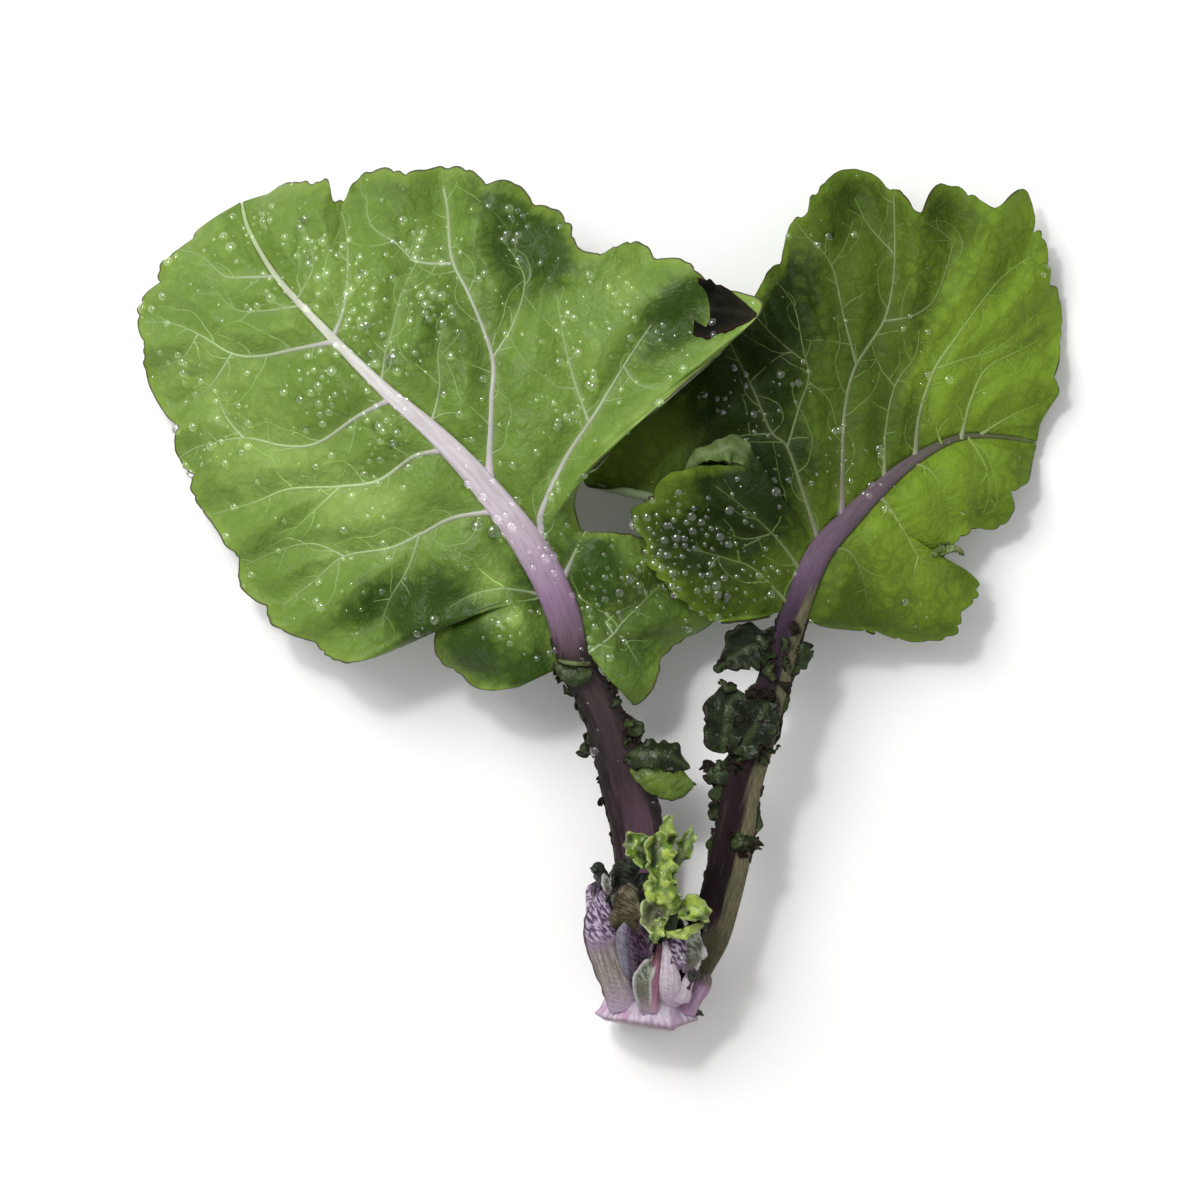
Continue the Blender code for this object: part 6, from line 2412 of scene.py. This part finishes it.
HEART_LEAVES = [
    # the long cupped leaf along the left side
    SmallLeaf([(2.5, -44.9, 10.2, 1.7), (1.7, -42.2, 11.3, 1.8), (0.8, -39.6, 12, 1.9), (0, -36.8, 12.6, 2),
               (-0.2, -34.2, 13.2, 1.7), (0.1, -31.4, 13.4, 1)], (-0.1, 0, 1), cup=-30, ruffle_pitch=3.6,
              ruffle_height=0.2, smooth_base=0.5, crinkle=0.16, teeth=0.08, rib_depth=1.6, rows=80,
              columns=34),
    # the bud
    SmallLeaf([(3.6, -42.6, 9.8, 0.5), (3.1, -40.4, 12.2, 0.95), (2.7, -38, 13.9, 1.2), (2.6, -36, 14.8, 1.1),
               (2.6, -34.9, 14.8, 0.5)], (0.1, 0.1, 1), finish=1, cup=-75, rib_depth=1.4, ruffle_height=0,
              crinkle=0.04, teeth=0),
    # the bud's dark right half
    SmallLeaf([(3.9, -41.6, 11.6, 0.3), (3.75, -39.6, 13.4, 0.5), (3.65, -37.4, 14.9, 0.6),
               (3.2, -35.5, 15.4, 0.4)], (0.2, 0, 1), finish=8, cup=-50, ruffle_height=0.1, crinkle=0.1,
              teeth=0.1),
    # the upright olive leaf behind the bud
    SmallLeaf([(3.2, -37, 11.8, 1.3), (3, -34.6, 13.6, 1.8), (2.8, -32.4, 15, 1.6), (2.7, -30.8, 15.4, 0.9)],
              (0.1, -0.3, 1), finish=2, cup=28, ruffle_pitch=3),
    # the crinkled ones at the bud's right
    SmallLeaf([(4.2, -41.6, 11.2, 0.4), (4.5, -39.4, 13, 0.9), (4.7, -37.2, 14.4, 1), (4.8, -35.2, 15, 0.7)],
              (-0.2, 0, 1), finish=8, cup=40, crinkle=0.3),
    SmallLeaf([(5.4, -40.4, 12.6, 0.3), (5.7, -38.4, 13.8, 0.6), (5.8, -36.6, 14.6, 0.6),
               (5.7, -35.4, 14.8, 0.4)], (0.2, 0, 1), finish=7, cup=40, crinkle=0.3),
    # the narrow leaf with a pale edge
    SmallLeaf([(5.1, -45.2, 10.1, 0.5), (4.7, -43.2, 11.3, 0.9), (4.6, -41.2, 12.6, 1),
               (5.4, -39.6, 13.4, 0.7), (6, -38.6, 13.8, 0.3)], (-0.1, 0, 1), finish=4, cup=35,
              ruffle_height=0.15, smooth_base=0.5, crinkle=0.1, teeth=0.1),
    SmallLeaf([(5.8, -45.1, 10.3, 0.5), (5.9, -42, 12.4, 0.65), (6.1, -39.5, 13.8, 0.6),
               (6.4, -37.2, 14.4, 0.5)], finish=5, cup=-50, ruffle_height=0.1, smooth_base=0.5, crinkle=0.08,
              teeth=0.1, rib_depth=1),
    # the broad pale petiole, and the crinkled blade beside its top
    SmallLeaf([(7.6, -44.6, 9.4, 1.7), (7.6, -42.4, 12.2, 1.5), (7.4, -40, 13.6, 1.2), (7.4, -37.8, 14.2, 1),
               (7.4, -36.6, 14.2, 0.8)], (0.05, 0, 1), finish=6, cup=-40, ruffle_height=0.1, smooth_base=0.5,
              crinkle=0.1, teeth=0.1, rib_depth=1.6, rows=60, columns=30),
    SmallLeaf([(8, -40.2, 13, 0.4), (8.4, -38.8, 14, 0.85), (8.5, -37.4, 14.4, 1), (8.5, -36, 14.4, 0.8)],
              (0.1, 0.1, 1), finish=3, cup=30, crinkle=0.3),
    # the glossy grey-green one at the right
    SmallLeaf([(9.5, -40.6, 12, 0.5), (9.9, -39.2, 13, 1.1), (10.2, -37.6, 13.8, 1.2),
               (10.1, -35.8, 13.8, 0.7)], (0.1, 0, 1), finish=4, cup=40, ruffle_pitch=2.4, crinkle=0.45),
    # the dark hollow below it, a near-black sheet of painted shade, and the lilac root of the right leaf at
    # the stump
    SmallLeaf([(10.6, -40.2, 12.6, 0.4), (10.2, -41, 12.4, 0.6), (9.9, -41.8, 11.6, 0.3)], (0.2, 0, 1),
              finish=7, cup=-30, rows=20),
    SmallLeaf([(9.4, -45.4, 8.2, 1.1), (10.1, -43.8, 9.4, 1.1), (10.9, -42.4, 10.3, 1.2),
               (11.8, -40.8, 10.6, 1)], (0.1, 0, 1), finish=9, cup=-40, ruffle_height=0, crinkle=0.06,
              teeth=0),
    SmallLeaf([(8.9, -44, 10.4, 0.9), (9.4, -42.4, 11.6, 0.9), (9.6, -40.8, 12.2, 0.6)], (0.3, 0, 1),
              finish=6, cup=-30, ruffle_height=0.1, crinkle=0.1),
    # the dark curled tips
    SmallLeaf([(0.6, -31.8, 12.6, 0.6), (0.3, -30.2, 13.6, 0.9), (-0.3, -28.9, 14, 0.8),
               (-1, -28.8, 13.6, 0.3)], (0.2, 0, 1), finish=7, cup=-55, crinkle=0.4),
    SmallLeaf([(0.9, -32, 13.2, 0.4), (0.6, -30.7, 14, 0.6), (0.3, -29.6, 14.2, 0.3)], finish=4, cup=-40,
              crinkle=0.3),
    SmallLeaf([(1.6, -36, 12.2, 0.8), (1.4, -33.6, 13, 1), (1.5, -31.4, 13.2, 0.9), (1.7, -30, 13, 0.4)],
              finish=7, cup=-30, crinkle=0.4),
    # a near-black sheet of painted shadow in the gap between the heart's leaves and the left petiole
    SmallLeaf([(3.2, -33.2, 12.6, 1), (2.9, -31, 13.8, 1.7), (2.7, -29.2, 14.2, 1.5),
               (2.5, -27.8, 13.8, 0.6)], finish=7, cup=30, crinkle=0.5),
    # a dark scar at the stump's right
    SmallLeaf([(9.6, -44.9, 7.2, 0.4), (10.4, -45.1, 7.4, 0.5), (11.2, -45.3, 6.8, 0.2)], (0.2, 0, 1),
              finish=7, cup=-30, rows=20),
    # the outer leaves on the underside
    SmallLeaf([(2.4, -44, 5.4, 1.6), (0.7, -39.5, 6.4, 2), (-0.4, -35, 7.4, 2), (-0.6, -31, 9, 1.2)],
              (0.9, 0, 0.3), cup=45, smooth_base=0.35, rib_depth=1.2),
    SmallLeaf([(9.2, -42, 10.4, 1.2), (10.2, -38, 11.4, 1.7), (10.6, -35, 12.4, 1.8), (10.2, -32, 13.2, 1)],
              (-0.8, 0, 0.5), finish=7, cup=45, smooth_base=0.35),
]


def heart() -> Heart:
    """The heart's leaves and middle.

    Returns:
        The heart, not yet built.
    """
    core = [
        (-43, 4.9, 6.9, 4, 2.7), (-41, 4.9, 7.8, 4.4, 3.2), (-37.5, 4.8, 9, 4.6, 3.5),
        (-34, 4.8, 10.3, 4, 3.2), (-31, 4.8, 11.6, 2.8, 2.4), (-29.6, 4.8, 12.3, 1.2, 1.2),
    ]
    return Heart(core=core, leaves=HEART_LEAVES, finishes=YOUNG_LEAVES)


def stump() -> Stump:
    """The cut stump.

    Returns:
        The stump, not yet built.
    """
    rings = [
        (0.0, 4.9, 5.3, 5.4, 5.0), (0.14, 4.9, 5.2, 5.6, 5.5), (0.5, 4.9, 5.2, 5.0, 5.3),
        (1.0, 5.0, 5.3, 4.7, 5.2),
    ]
    return Stump(rings=rings, finish=CUT)


def corners(box: tuple[Vector, Vector]) -> list[list[float]]:
    """A box's corners as plain lists."""
    return [[float(value) for value in corner] for corner in box]


def main() -> None:
    """Builds the sprout and the studio."""
    logging.basicConfig(level=logging.INFO, format="%(name)s: %(message)s")
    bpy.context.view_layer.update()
    Studio().build()
    shop = Workshop()
    for part in (stump(), heart(), left_leaf(), right_leaf(), frill_leaf()):
        pieces = part.build(shop)
        LOG.info("%s is done, in %d pieces", type(part).__name__, len(pieces))
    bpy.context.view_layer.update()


if __name__ == "__main__":
    main()
